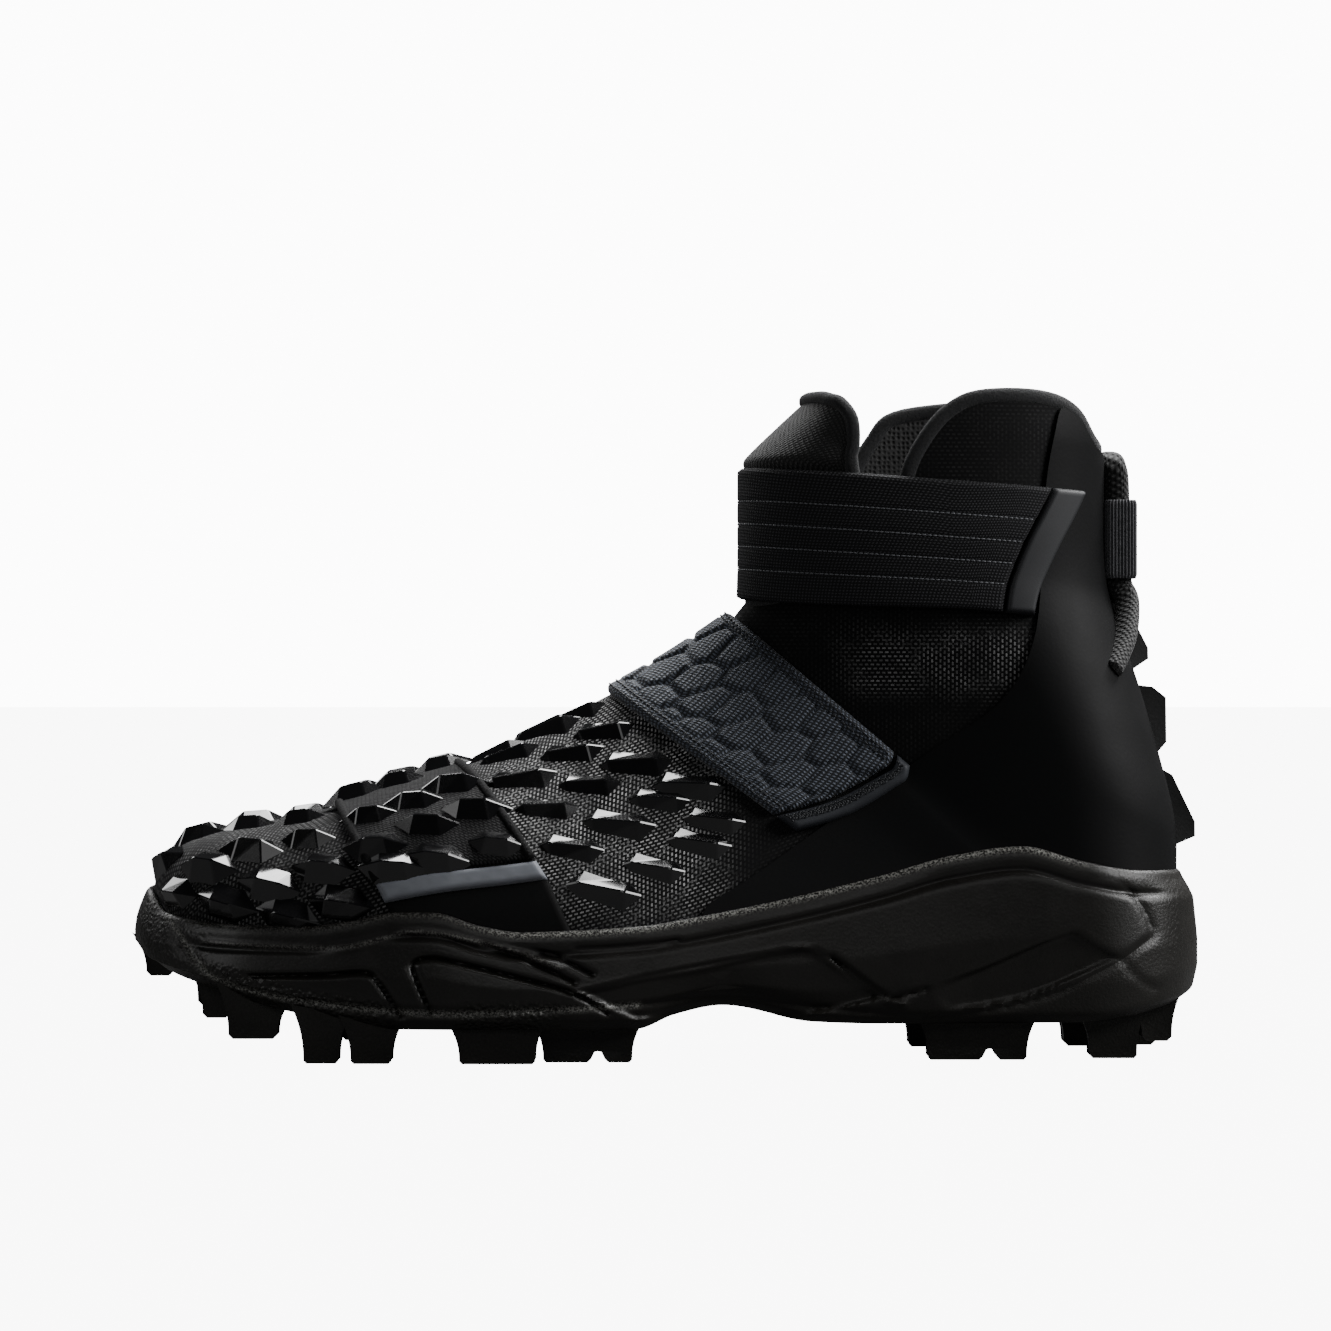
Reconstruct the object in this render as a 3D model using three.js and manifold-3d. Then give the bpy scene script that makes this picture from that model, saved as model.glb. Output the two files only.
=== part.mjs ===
// American football cleat, left shoe, in millimetres. The toe points to -X, the outer side to -Y, up is +Z.
import * as THREE from 'three';
import { mergeVertices } from 'three/addons/utils/BufferGeometryUtils.js';
import Module from 'manifold-3d';

const wasm = await Module();
wasm.setup();

// Driving sizes of the foot form
const LENGTH = 305;
const BALL_WIDTH = 99;
const HEEL_WIDTH = 69;
const STUD_HEIGHT = 10.8;
const INSTEP_HEIGHT = 122.3;
const COLLAR_HEIGHT = 187;

// Heights of the same three levels in the tables, as shares of the whole height
const STUD_LEVEL = 0.058;
const INSTEP_LEVEL = 0.654;

// Walls and clearances
const WALL = 2.2;
const GAP = 0.3;
const FILM = 1.0;
const INSOLE_THICKNESS = 4;
const TONGUE_THICKNESS = 5.5;

// Sole side
const RIM = 2.0;
const GROOVE_DROP = 6.5;
const GROOVE_DEPTH = 1.0;
const GROOVE_HALF = 1.5;
const LIP_BULGE = 1.0;
const SIDE_FLARE = 5.0;
const EDGE_ROUND = 5.0;
const ARCH_TUCK = 6.0;
const PANEL_DEPTH = 1.2;

// Straps
const FOREFOOT_STRAP_WIDTH = 36;
const FOREFOOT_STRAP_THICKNESS = 2.2;
const FOREFOOT_STRAP_DRIFT = 8;
const INSTEP_STRAP_WIDTH = 44.5;
const INSTEP_STRAP_THICKNESS = 2.6;
const ANKLE_STRAP_WIDTH = 38;
const ANKLE_STRAP_THICKNESS = 2.6;
const HEM_STEP = 0.5;

// Raised facets of the toe
const GEM_LENGTH = 16;
const GEM_WIDTH = 8.4;
const GEM_HEIGHT = 3.4;
const GEM_PITCH = 0.152 * BALL_WIDTH;
const GEM_SINK = 1.0;

// Pull loop and heel fins
const LOOP_THICKNESS = 4.4;
const LOOP_WIDTH = 6.4;
const WRAP_WALL = 1.2;
const FIN_WIDTH = 18;
const FIN_TOPS = [4, 12, 12];

// Studs
const STUD_TAPER = 0.82;
const NOTCH_DEPTH = 3.6;
const MEDIAL_SPREAD = 1.05;

const mix = (from, to, share) => from + (to - from) * share;
const along = (share) => (share - 0.5) * LENGTH;

// A height given as a share of the whole, carried by the named levels below and above it
function up(share) {
  if (share < STUD_LEVEL) return (STUD_HEIGHT * share) / STUD_LEVEL;
  if (share < INSTEP_LEVEL) {
    return mix(STUD_HEIGHT, INSTEP_HEIGHT, (share - STUD_LEVEL) / (INSTEP_LEVEL - STUD_LEVEL));
  }
  return mix(INSTEP_HEIGHT, COLLAR_HEIGHT, (share - INSTEP_LEVEL) / (1 - INSTEP_LEVEL));
}

const table = (columns, rows) =>
  rows.map((row) => Object.fromEntries(columns.map((name, i) => [name, row[i]])));

// A smooth curve through hand-chosen values that never swings past them
function curve(xs, ys) {
  const steps = xs.slice(1).map((x, i) => (ys[i + 1] - ys[i]) / (x - xs[i]));
  const slopes = xs.map((x, i) => {
    if (i === 0) return steps[0];
    if (i === xs.length - 1) return steps[i - 1];
    const [before, after] = [steps[i - 1], steps[i]];
    return before * after <= 0 ? 0 : (2 * before * after) / (before + after);
  });
  return (x) => {
    const at = Math.min(Math.max(x, xs[0]), xs[xs.length - 1]);
    let i = 0;
    while (i < xs.length - 2 && at > xs[i + 1]) i += 1;
    const width = xs[i + 1] - xs[i];
    const t = (at - xs[i]) / width;
    return (
      (2 * t ** 3 - 3 * t ** 2 + 1) * ys[i] +
      (t ** 3 - 2 * t ** 2 + t) * width * slopes[i] +
      (3 * t ** 2 - 2 * t ** 3) * ys[i + 1] +
      (t ** 3 - t ** 2) * width * slopes[i + 1]
    );
  };
}

// Sections of the foot form. Each stands on a base point and leans to a top point on the centre line.
// Places along the shoe are shares of the length, heights of the whole height, widths of the named width.
const sectionColumns = [
  'topX', 'topZ', 'baseX', 'baseZ', 'lateral', 'medial', 'centre', 'belly', 'crown', 'floor',
];
const forefootSections = table(sectionColumns, [
  [0.016, 0.233, 0.016, 0.194, 0.05, 0.05, 0.076, 0.5, 2.0, 2.0],
  [0.018, 0.269, 0.018, 0.167, 0.13, 0.13, 0.076, 0.5, 2.0, 2.0],
  [0.028, 0.301, 0.031, 0.148, 0.23, 0.22, 0.071, 0.45, 2.2, 2.4],
  [0.053, 0.328, 0.06, 0.128, 0.333, 0.318, 0.061, 0.4, 2.5, 3.0],
  [0.095, 0.346, 0.114, 0.102, 0.404, 0.389, 0.04, 0.36, 2.6, 3.6],
  [0.142, 0.358, 0.18, 0.082, 0.449, 0.429, 0.03, 0.34, 2.5, 4.0],
  [0.189, 0.377, 0.271, 0.072, 0.495, 0.449, 0.025, 0.33, 2.4, 4.5],
  [0.246, 0.407, 0.344, 0.07, 0.515, 0.449, 0.02, 0.32, 2.3, 4.5],
  [0.302, 0.435, 0.485, 0.073, 0.51, 0.404, 0.015, 0.3, 2.15, 4.5],
  [0.368, 0.485, 0.626, 0.087, 0.449, 0.333, 0.01, 0.27, 2.0, 4.5],
  [0.438, 0.541, 0.786, 0.102, 0.389, 0.318, 0.005, 0.24, 1.95, 4.5],
]);
const heelSections = table(sectionColumns, [
  [0.5, 0.597, 0.871, 0.102, 0.529, 0.471, 0.007, 0.22, 1.9, 4.0],
  [0.553, 0.654, 0.922, 0.105, 0.514, 0.486, 0, 0.22, 1.9, 3.4],
  [0.561, 0.663, 0.955, 0.133, 0.507, 0.486, 0, 0.24, 1.95, 2.6],
  [0.565, 0.672, 0.972, 0.21, 0.507, 0.493, 0, 0.26, 2.0, 2.3],
  [0.569, 0.68, 0.974, 0.324, 0.507, 0.493, 0, 0.27, 2.0, 2.1],
  [0.572, 0.686, 0.955, 0.47, 0.507, 0.5, 0, 0.3, 2.0, 2.1],
  [0.574, 0.692, 0.922, 0.643, 0.514, 0.507, 0, 0.38, 2.1, 2.2],
  [0.575, 0.758, 0.909, 0.715, 0.514, 0.514, 0, 0.43, 2.2, 2.2],
  [0.575, 0.826, 0.906, 0.787, 0.522, 0.522, 0, 0.45, 2.2, 2.2],
  [0.575, 0.892, 0.906, 0.858, 0.522, 0.522, 0, 0.45, 2.2, 2.2],
  [0.581, 0.953, 0.906, 0.922, 0.522, 0.522, 0, 0.45, 2.2, 2.2],
  [0.594, 1.014, 0.899, 0.999, 0.514, 0.514, 0, 0.45, 2.2, 2.2],
  [0.603, 1.045, 0.894, 1.03, 0.507, 0.507, 0, 0.45, 2.2, 2.2],
]);
const sized = (rows, width) =>
  rows.map((row) => ({
    topX: along(row.topX),
    topZ: up(row.topZ),
    baseX: along(row.baseX),
    baseZ: up(row.baseZ),
    lateral: row.lateral * width,
    medial: row.medial * width,
    centre: row.centre * width,
    belly: row.belly,
    crown: row.crown,
    floor: row.floor,
  }));
const sections = [...sized(forefootSections, BALL_WIDTH), ...sized(heelSections, HEEL_WIDTH)];
const lastSection = sections.length - 1;
const sectionCurves = Object.fromEntries(
  sectionColumns.map((name) => [name, curve(sections.map((row, i) => i), sections.map((row) => row[name]))]),
);

function sectionAt(place) {
  return Object.fromEntries(sectionColumns.map((name) => [name, sectionCurves[name](place)]));
}

// A point of the foot form: place counts sections from the toe, turn goes once round a section from
// its base over the outer side (0.25), the top (0.5) and the inner side (0.75)
function skinPoint(place, turn) {
  const row = sectionAt(place);
  const rise = -Math.cos(2 * Math.PI * turn);
  const side = Math.sin(2 * Math.PI * turn);
  const power = rise > 0 ? row.crown : row.floor;
  const reach = Math.abs(rise) ** (2 / power);
  const h = rise > 0 ? mix(row.belly, 1, reach) : row.belly * (1 - reach);
  const half = side > 0 ? -row.lateral : row.medial;
  const y = row.centre + half * Math.abs(side) ** (2 / power);
  return new THREE.Vector3(mix(row.baseX, row.topX, h), y, mix(row.baseZ, row.topZ, h));
}

// A point inside the form which the skin faces away from
const FIRST_HEART = 1.5;
function heart(place) {
  const row = sectionAt(Math.max(place, FIRST_HEART));
  return new THREE.Vector3(
    mix(row.baseX, row.topX, row.belly),
    row.centre,
    mix(row.baseZ, row.topZ, row.belly),
  );
}

function skinNormal(place, turn) {
  const step = 0.04;
  const swing = 0.003;
  const behind = skinPoint(Math.max(place - step, 0), turn);
  const ahead = skinPoint(Math.min(place + step, lastSection), turn);
  const round = skinPoint(place, turn + swing).sub(skinPoint(place, turn - swing));
  const normal = ahead.sub(behind).cross(round).normalize();
  const outward = skinPoint(place, turn).sub(heart(place));
  return normal.dot(outward) < 0 ? normal.negate() : normal;
}

const skinOff = (place, turn, offset) =>
  skinPoint(place, turn).addScaledVector(skinNormal(place, turn), offset);

// The place reached by walking a distance along the skin from a place, at one turn
function walk(place, turn, distance) {
  const steps = 10;
  let at = place;
  for (let i = 0; i < steps; i += 1) {
    const stride = skinPoint(at + 0.05, turn).distanceTo(skinPoint(at - 0.05, turn)) / 0.1;
    at += distance / steps / stride;
  }
  return at;
}

// Solids from points and faces
function closed(points, faces) {
  let volume = 0;
  for (const [a, b, c] of faces) {
    volume += points[a].dot(points[b].clone().cross(points[c]));
  }
  const turned = volume < 0 ? faces.map(([a, b, c]) => [a, c, b]) : faces;
  return new wasm.Manifold(
    new wasm.Mesh({
      numProp: 3,
      vertProperties: new Float32Array(points.flatMap((p) => [p.x, p.y, p.z])),
      triVerts: new Uint32Array(turned.flat()),
    }),
  );
}

function solidOf(geometry) {
  geometry.deleteAttribute('normal');
  geometry.deleteAttribute('uv');
  const merged = mergeVertices(geometry, 1e-4);
  return new wasm.Manifold(
    new wasm.Mesh({
      numProp: 3,
      vertProperties: new Float32Array(merged.attributes.position.array),
      triVerts: new Uint32Array(merged.index.array),
    }),
  );
}

const ringFaces = (first, second, count) =>
  Array.from({ length: count }, (_, i) => {
    const next = (i + 1) % count;
    return [
      [first + i, first + next, second + next],
      [first + i, second + next, second + i],
    ];
  }).flat();

// Rings joined in order, each end closed to a middle point
function loft(rings) {
  const count = rings[0].length;
  const points = rings.flat();
  const faces = rings.slice(1).flatMap((ring, i) => ringFaces(i * count, (i + 1) * count, count));
  const ends = [
    [0, true],
    [(rings.length - 1) * count, false],
  ];
  for (const [start, first] of ends) {
    const middle = new THREE.Vector3();
    for (let i = 0; i < count; i += 1) middle.addScaledVector(points[start + i], 1 / count);
    const hub = points.push(middle) - 1;
    for (let i = 0; i < count; i += 1) {
      const next = start + ((i + 1) % count);
      faces.push(first ? [hub, next, start + i] : [hub, start + i, next]);
    }
  }
  return closed(points, faces);
}

// A sheet between an inner and an outer skin, closed round its edge
function sheet(acrossCount, alongCount, inner, outer) {
  const rings = [];
  for (let i = 0; i <= acrossCount; i += 1) {
    const ring = [];
    for (let j = 0; j <= alongCount; j += 1) ring.push(outer(i / acrossCount, j / alongCount));
    for (let j = alongCount; j >= 0; j -= 1) ring.push(inner(i / acrossCount, j / alongCount));
    rings.push(ring);
  }
  const count = rings[0].length;
  const points = rings.flat();
  const faces = rings.slice(1).flatMap((ring, i) => ringFaces(i * count, (i + 1) * count, count));
  const caps = [
    [0, true],
    [acrossCount * count, false],
  ];
  for (const [start, first] of caps) {
    for (let j = 0; j < alongCount; j += 1) {
      const [a, b] = [start + j, start + j + 1];
      const [c, d] = [start + count - 2 - j, start + count - 1 - j];
      const pair = [
        [a, b, c],
        [a, c, d],
      ];
      faces.push(...pair.map(([p, q, r]) => (first ? [p, r, q] : [p, q, r])));
    }
  }
  return closed(points, faces);
}

// A side outline, in millimetres along and up, drawn out across the shoe
function slabAcross(outline, fromY, toY) {
  const shape = new THREE.Shape(outline.map(([x, z]) => new THREE.Vector2(x, z)));
  const geometry = new THREE.ExtrudeGeometry(shape, { depth: toY - fromY, bevelEnabled: false });
  geometry.rotateX(Math.PI / 2);
  geometry.translate(0, toY, 0);
  return solidOf(geometry);
}

const spline = (points, count) =>
  new THREE.SplineCurve(points.map(([x, z]) => new THREE.Vector2(x, z)))
    .getPoints(count)
    .map((p) => [p.x, p.y]);

const sideways = (points) => points.map(([share, height]) => [along(share), up(height)]);
const WIDE = BALL_WIDTH;
const ABOVE = 1.4 * COLLAR_HEIGHT;

// The foot form as a solid, moved outward by an offset
const bagPlaces = [
  0, 0.5, 1, 1.5, 2, 3, 4, 5, 6, 7, 8, 9, 10, 11, 12, 13, 14, 15, 16, 17, 18.5, 20, 21.5, 23,
];
const OUTER_SIDES = 24;
const INNER_SIDES = 16;
function bag(offset) {
  const sides = offset < 0 ? INNER_SIDES : OUTER_SIDES;
  const ring = (place) => Array.from({ length: sides }, (_, i) => skinOff(place, i / sides, offset));
  return loft(bagPlaces.map(ring));
}

// Side profiles of footbed, sole rim and sole plate: share of the length, share of the height
const profileColumns = ['at', 'height'];
const footbedRows = table(profileColumns, [
  [0, 0.1925], [0.04, 0.1765], [0.107, 0.15], [0.189, 0.1257], [0.303, 0.1096],
  [0.434, 0.107], [0.566, 0.1176], [0.697, 0.1364], [0.828, 0.147], [1, 0.15],
]);
const rimRows = table(profileColumns, [
  [0, 0.262], [0.02, 0.25], [0.037, 0.22], [0.102, 0.205], [0.167, 0.204], [0.213, 0.213], [0.254, 0.226],
  [0.286, 0.226], [0.331, 0.206], [0.368, 0.197], [0.404, 0.199], [0.477, 0.206], [0.531, 0.22],
  [0.623, 0.25], [0.697, 0.279], [0.761, 0.308], [0.825, 0.322], [0.88, 0.3], [0.93, 0.285], [1, 0.281],
]);
const plateRows = table(profileColumns, [
  [0, 0.17], [0.014, 0.159], [0.038, 0.133], [0.077, 0.112], [0.156, 0.076], [0.265, 0.052], [0.472, 0.052],
  [0.505, 0.071], [0.55, 0.084], [0.634, 0.06], [0.703, 0.057], [0.881, 0.058], [0.961, 0.081], [1, 0.115],
]);
const flareRows = table(profileColumns, [
  [0, 1.05], [0.15, 1.0], [0.33, 1.1], [0.5, 0.8], [0.6, 0.75], [0.75, 0.9], [0.9, 1.05], [1, 1.55],
]);
const tuckRows = table(profileColumns, [
  [0, 0], [0.42, 0], [0.55, 1], [0.68, 0], [1, 0],
]);
const profile = (rows) => curve(rows.map((row) => row.at), rows.map((row) => row.height));
const footbedShare = profile(footbedRows);
const rimShare = profile(rimRows);
const plateShare = profile(plateRows);
const flareShare = profile(flareRows);
const tuckShare = profile(tuckRows);
const shareOf = (x) => x / LENGTH + 0.5;
const footbed = (x) => up(footbedShare(shareOf(x)));
const rim = (x) => up(rimShare(shareOf(x)));
const plate = (x) => up(plateShare(shareOf(x)));

const stationsAlong = (count) =>
  Array.from({ length: count + 1 }, (_, i) => mix(-0.1, 1.1, i / count));
function aboveFootbed(lift) {
  const line = stationsAlong(14).map((share) => [along(share), footbed(along(share)) + lift]);
  return slabAcross([...line, [along(1.1), ABOVE], [along(-0.1), ABOVE]], -WIDE, WIDE);
}

// Whether a point lies inside the foot form
function inside(x, y, z) {
  const lean = (place) => {
    const row = sectionAt(place);
    return (row.topX - row.baseX) * (z - row.baseZ) - (row.topZ - row.baseZ) * (x - row.baseX);
  };
  let [low, high] = [0, lastSection];
  const front = Math.sign(lean(low));
  if (front === Math.sign(lean(high))) return false;
  for (let i = 0; i < 18; i += 1) {
    const middle = (low + high) / 2;
    if (Math.sign(lean(middle)) === front) low = middle;
    else high = middle;
  }
  const row = sectionAt(low);
  const [dx, dz] = [row.topX - row.baseX, row.topZ - row.baseZ];
  const h = ((x - row.baseX) * dx + (z - row.baseZ) * dz) / (dx * dx + dz * dz);
  if (h <= 0 || h >= 1) return false;
  const climb = h > row.belly ? (h - row.belly) / (1 - row.belly) : (row.belly - h) / row.belly;
  const power = h > row.belly ? row.crown : row.floor;
  const fullness = (1 - climb ** power) ** (1 / power);
  const side = y - row.centre;
  return side < 0 ? -side < row.lateral * fullness : side < row.medial * fullness;
}

// Distance from a point inside the foot form to its skin, level, in a given direction
function reachOf(origin, direction, z) {
  let [low, high] = [0, WIDE];
  for (let i = 0; i < 16; i += 1) {
    const middle = (low + high) / 2;
    if (inside(origin.x + direction.x * middle, origin.y + direction.y * middle, z)) low = middle;
    else high = middle;
  }
  return low;
}

// Columns round the sole: from the toe tip down the outer side to the heel tip, then back inside
const FAN_STEPS = 6;
const SIDE_STEPS = 13;
const TOE_HUB = 0.14;
const HEEL_HUB = 0.87;
const SPINE = 0.03 * BALL_WIDTH;
function soleColumns() {
  const half = [];
  for (let i = 0; i <= FAN_STEPS; i += 1) {
    const angle = (Math.PI / 2) * (i / FAN_STEPS);
    half.push([along(TOE_HUB), -Math.cos(angle), Math.sin(angle)]);
  }
  for (let i = 1; i < SIDE_STEPS; i += 1) {
    half.push([along(mix(TOE_HUB, HEEL_HUB, i / SIDE_STEPS)), 0, 1]);
  }
  for (let i = 0; i <= FAN_STEPS; i += 1) {
    const angle = (Math.PI / 2) * (i / FAN_STEPS);
    half.push([along(HEEL_HUB), Math.sin(angle), Math.cos(angle)]);
  }
  const column = ([x, dx, dy], side) => {
    const spine = mix(2 * SPINE, 0, Math.min(Math.max(shareOf(x), 0), 1));
    return { origin: new THREE.Vector2(x, spine), direction: new THREE.Vector2(dx, side * dy) };
  };
  const outer = half.map((entry) => column(entry, -1));
  const inner = half.slice(1, -1).reverse().map((entry) => column(entry, 1));
  return [...outer, ...inner];
}
const columns = soleColumns();
const pairCount = 2 * FAN_STEPS + SIDE_STEPS;

// The whole sole as one form, with its side drawn in by an inset
const BODY_LIFT = 12;
function soleForm(inset) {
  const rows = Array.from({ length: 9 }, () => []);
  for (const { origin, direction } of columns) {
    const guess = reachOf(origin, direction, footbed(origin.x) + BODY_LIFT);
    const bodyX = origin.x + direction.x * guess;
    const share = shareOf(bodyX);
    const top = rim(bodyX) + Math.max(-inset, 0);
    const bottom = plate(bodyX);
    const lip = reachOf(origin, direction, top) + GAP + RIM - inset;
    const wide = Math.max(reachOf(origin, direction, footbed(bodyX) + BODY_LIFT), lip - RIM - GAP);
    const body = wide + GAP + SIDE_FLARE * flareShare(share) - inset;
    const groove = top - GROOVE_DROP;
    const wall = reachOf(origin, direction, groove) + GAP + 0.6 * RIM - inset;
    const tuck = ARCH_TUCK * tuckShare(share);
    const stack = [
      [lip - 2 * RIM, top],
      [lip - 0.1 * RIM, top],
      [Math.max(lip, wall) + LIP_BULGE, groove + GROOVE_HALF],
      [Math.max(lip, wall) + LIP_BULGE - GROOVE_DEPTH, groove],
      [Math.max(lip + LIP_BULGE, wall + LIP_BULGE, mix(lip, body, 0.5)), groove - GROOVE_HALF],
      [body, mix(groove, bottom, 0.45)],
      [body - 0.2 * tuck, mix(groove, bottom, 0.7)],
      [body - 0.3 * EDGE_ROUND - 0.6 * tuck, bottom + 0.5 * EDGE_ROUND],
      [body - EDGE_ROUND - tuck, bottom],
    ];
    stack.forEach(([out, z], k) => {
      rows[k].push(new THREE.Vector3(origin.x + direction.x * out, origin.y + direction.y * out, z));
    });
  }
  const count = columns.length;
  const points = rows.flat();
  const faces = rows.slice(1).flatMap((row, k) => ringFaces(k * count, (k + 1) * count, count));
  const mirror = (i) => (i === 0 || i === pairCount ? i : count - i);
  const caps = [
    [0, true],
    [(rows.length - 1) * count, false],
  ];
  for (const [start, first] of caps) {
    for (let i = 0; i < pairCount; i += 1) {
      const [a, b, c, d] = [i, i + 1, mirror(i + 1), mirror(i)].map((k) => start + k);
      const quad = [];
      if (b !== c) quad.push([a, b, c]);
      if (a !== d) quad.push([a, c, d]);
      faces.push(...quad.map(([p, q, r]) => (first ? [p, r, q] : [p, q, r])));
    }
  }
  return closed(points, faces);
}

// Parting line between midsole and outsole, seen from the side; the outsole wraps up at toe and heel
const partingLine = [
  [0.029, 0.3], [0.03, 0.24], [0.042, 0.207], [0.066, 0.155], [0.09, 0.122], [0.167, 0.094], [0.286, 0.078],
  [0.404, 0.084], [0.477, 0.09], [0.55, 0.102], [0.634, 0.09], [0.718, 0.087], [0.8, 0.088], [0.87, 0.1],
  [0.922, 0.128], [0.95, 0.185], [0.935, 0.24], [0.91, 0.3],
];
function outsoleRegion(lift) {
  const line = sideways(partingLine);
  const shifted = line.map(([x, z], i) => {
    const before = line[Math.max(i - 1, 0)];
    const after = line[Math.min(i + 1, line.length - 1)];
    const run = new THREE.Vector2(after[0] - before[0], after[1] - before[1]).normalize();
    return [x - run.y * lift, z + run.x * lift];
  });
  const high = up(0.5);
  const outline = [
    ...shifted,
    [shifted.at(-1)[0], high], [along(1.2), high], [along(1.2), -STUD_HEIGHT],
    [along(-0.2), -STUD_HEIGHT], [along(-0.2), high], [shifted[0][0], high],
  ];
  return slabAcross(outline, -WIDE, WIDE);
}

// Recessed panels of the sole side, as side outlines
const sidePanels = {
  arch: [
    [0.42, 0.112], [0.48, 0.134], [0.535, 0.15], [0.607, 0.171], [0.635, 0.171], [0.66, 0.15],
    [0.7, 0.1], [0.62, 0.07], [0.47, 0.07],
  ],
  ball: [[0.27, 0.172], [0.33, 0.166], [0.39, 0.135], [0.36, 0.1], [0.285, 0.095]],
  heel: [[0.74, 0.12], [0.865, 0.192], [0.885, 0.18], [0.86, 0.13], [0.75, 0.105]],
};
function panelCuts() {
  const core = soleForm(PANEL_DEPTH);
  return Object.values(sidePanels).map((outline) =>
    slabAcross(sideways(outline), -WIDE, WIDE).subtract(core),
  );
}

// Studs: at is a share of the length, across, length and width of the ball width, foot of the stud height
// and notch of the stud's own length
const studColumns = ['at', 'across', 'length', 'width', 'foot', 'notch'];
const lateralStuds = table(studColumns, [
  [0.084, -0.25, 0.07, 0.09, 1.11, 0],
  [0.12, -0.33, 0.13, 0.11, 0.62, 0],
  [0.184, -0.4, 0.09, 0.13, 0, 0],
  [0.23, -0.41, 0.106, 0.14, 0, 0],
  [0.345, -0.42, 0.205, 0.14, 0, 0],
  [0.427, -0.36, 0.242, 0.13, 0, 0.62],
  [0.785, -0.26, 0.272, 0.14, 0, 0.63],
  [0.912, -0.2, 0.125, 0.14, 0, 0],
  [0.955, -0.12, 0.076, 0.12, 0.43, 0],
]);
const medialStuds = table(studColumns, [
  [0.084, 0.3, 0.07, 0.09, 1.11, 0],
  [0.12, 0.37, 0.13, 0.11, 0.62, 0],
  [0.184, 0.4, 0.09, 0.13, 0, 0],
  [0.23, 0.4, 0.106, 0.14, 0, 0],
  [0.345, 0.38, 0.172, 0.14, 0, 0],
  [0.427, 0.3, 0.222, 0.13, 0, 0.5],
  [0.762, 0.24, 0.272, 0.14, 0, 0.6],
  [0.878, 0.22, 0.115, 0.14, 0.07, 0],
  [0.922, 0.16, 0.11, 0.13, 0.14, 0],
]);
const centreStuds = table(studColumns, [
  [0.024, 0.06, 0.07, 0.24, 2.07, 0],
  [0.215, 0, 0.12, 0.12, 0.37, 0],
  [0.32, 0.02, 0.12, 0.12, 0.37, 0],
]);
const ROOT_FLARE = 3.2;
const STUD_ROUND = 1;
const STUD_SINK = 2;
function stud(row, spread) {
  const x = along(0.5 + (row.at - 0.5) * spread);
  const y = row.across * BALL_WIDTH;
  const foot = row.foot * STUD_HEIGHT;
  const [length, width] = [row.length * BALL_WIDTH, row.width * BALL_WIDTH];
  const half = length / 2;
  const flank = (side) => {
    const root = plate(x + side * (half + ROOT_FLARE)) + STUD_SINK;
    return [
      [x + side * (half + ROOT_FLARE), root],
      [x + side * (half + 0.2 * ROOT_FLARE), mix(root, foot, 0.5)],
      [x + side * half, foot + STUD_ROUND],
      [x + side * (half - STUD_ROUND), foot],
    ];
  };
  const left = flank(-1);
  const right = flank(1).reverse();
  const root = Math.max(left[0][1], right.at(-1)[1]);
  const middle = [];
  if (row.notch > 0) {
    const centre = x - half + length * row.notch;
    const bed = 0.4 * NOTCH_DEPTH;
    middle.push([centre - NOTCH_DEPTH, foot], [centre - bed, foot + NOTCH_DEPTH]);
    middle.push([centre + bed, foot + NOTCH_DEPTH], [centre + NOTCH_DEPTH, foot]);
  }
  const blade = slabAcross([...left, ...middle, ...right], y - width / 2, y + width / 2);
  const taper = (scale, z) => {
    const w = (width / 2) * scale;
    return [[-1, -1], [1, -1], [1, 1], [-1, 1]].map(
      ([sx, sy]) => new THREE.Vector3(x + sx * (half + 2 * ROOT_FLARE), y + sy * w, z),
    );
  };
  return blade.intersect(loft([taper(STUD_TAPER, foot), taper(1.0, root)]));
}

// Side outline of the quarter film, and of the collar and throat, as shares seen from the side
const quarterFront = [
  [0.536, 0.236], [0.586, 0.287], [0.67, 0.383], [0.743, 0.465], [0.807, 0.54], [0.836, 0.63], [0.845, 0.75],
  [0.849, 0.871], [0.86, 0.965],
];
const THROAT_LOW = [0.575, 0.692];
const lateralCollar = [
  THROAT_LOW, [0.615, 0.703], [0.688, 0.75], [0.718, 0.82], [0.722, 0.884], [0.742, 0.944], [0.765, 0.98],
  [0.793, 0.995], [0.845, 0.995], [0.879, 0.975], [0.901, 0.927], [0.93, 0.9],
];
const MEDIAL_SHIFT = 0.045;
const medialCollar = lateralCollar.map(([share, height], i) =>
  i >= 2 && i <= 6 ? [share - MEDIAL_SHIFT, height] : [share, height],
);
function throatCut(collar, fromY, toY, inset) {
  const line = spline(sideways(collar), 16).map(([x, z]) => [x - inset, z + inset]);
  const outline = [
    ...line, [along(1.2), line.at(-1)[1]], [along(1.2), ABOVE], [along(0.3), ABOVE], [along(0.3), line[0][1]],
  ];
  return slabAcross(outline, fromY, toY);
}
const openThroat = (inset) =>
  throatCut(lateralCollar, -WIDE, 0.01, inset).add(throatCut(medialCollar, -0.01, WIDE, inset));

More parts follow.
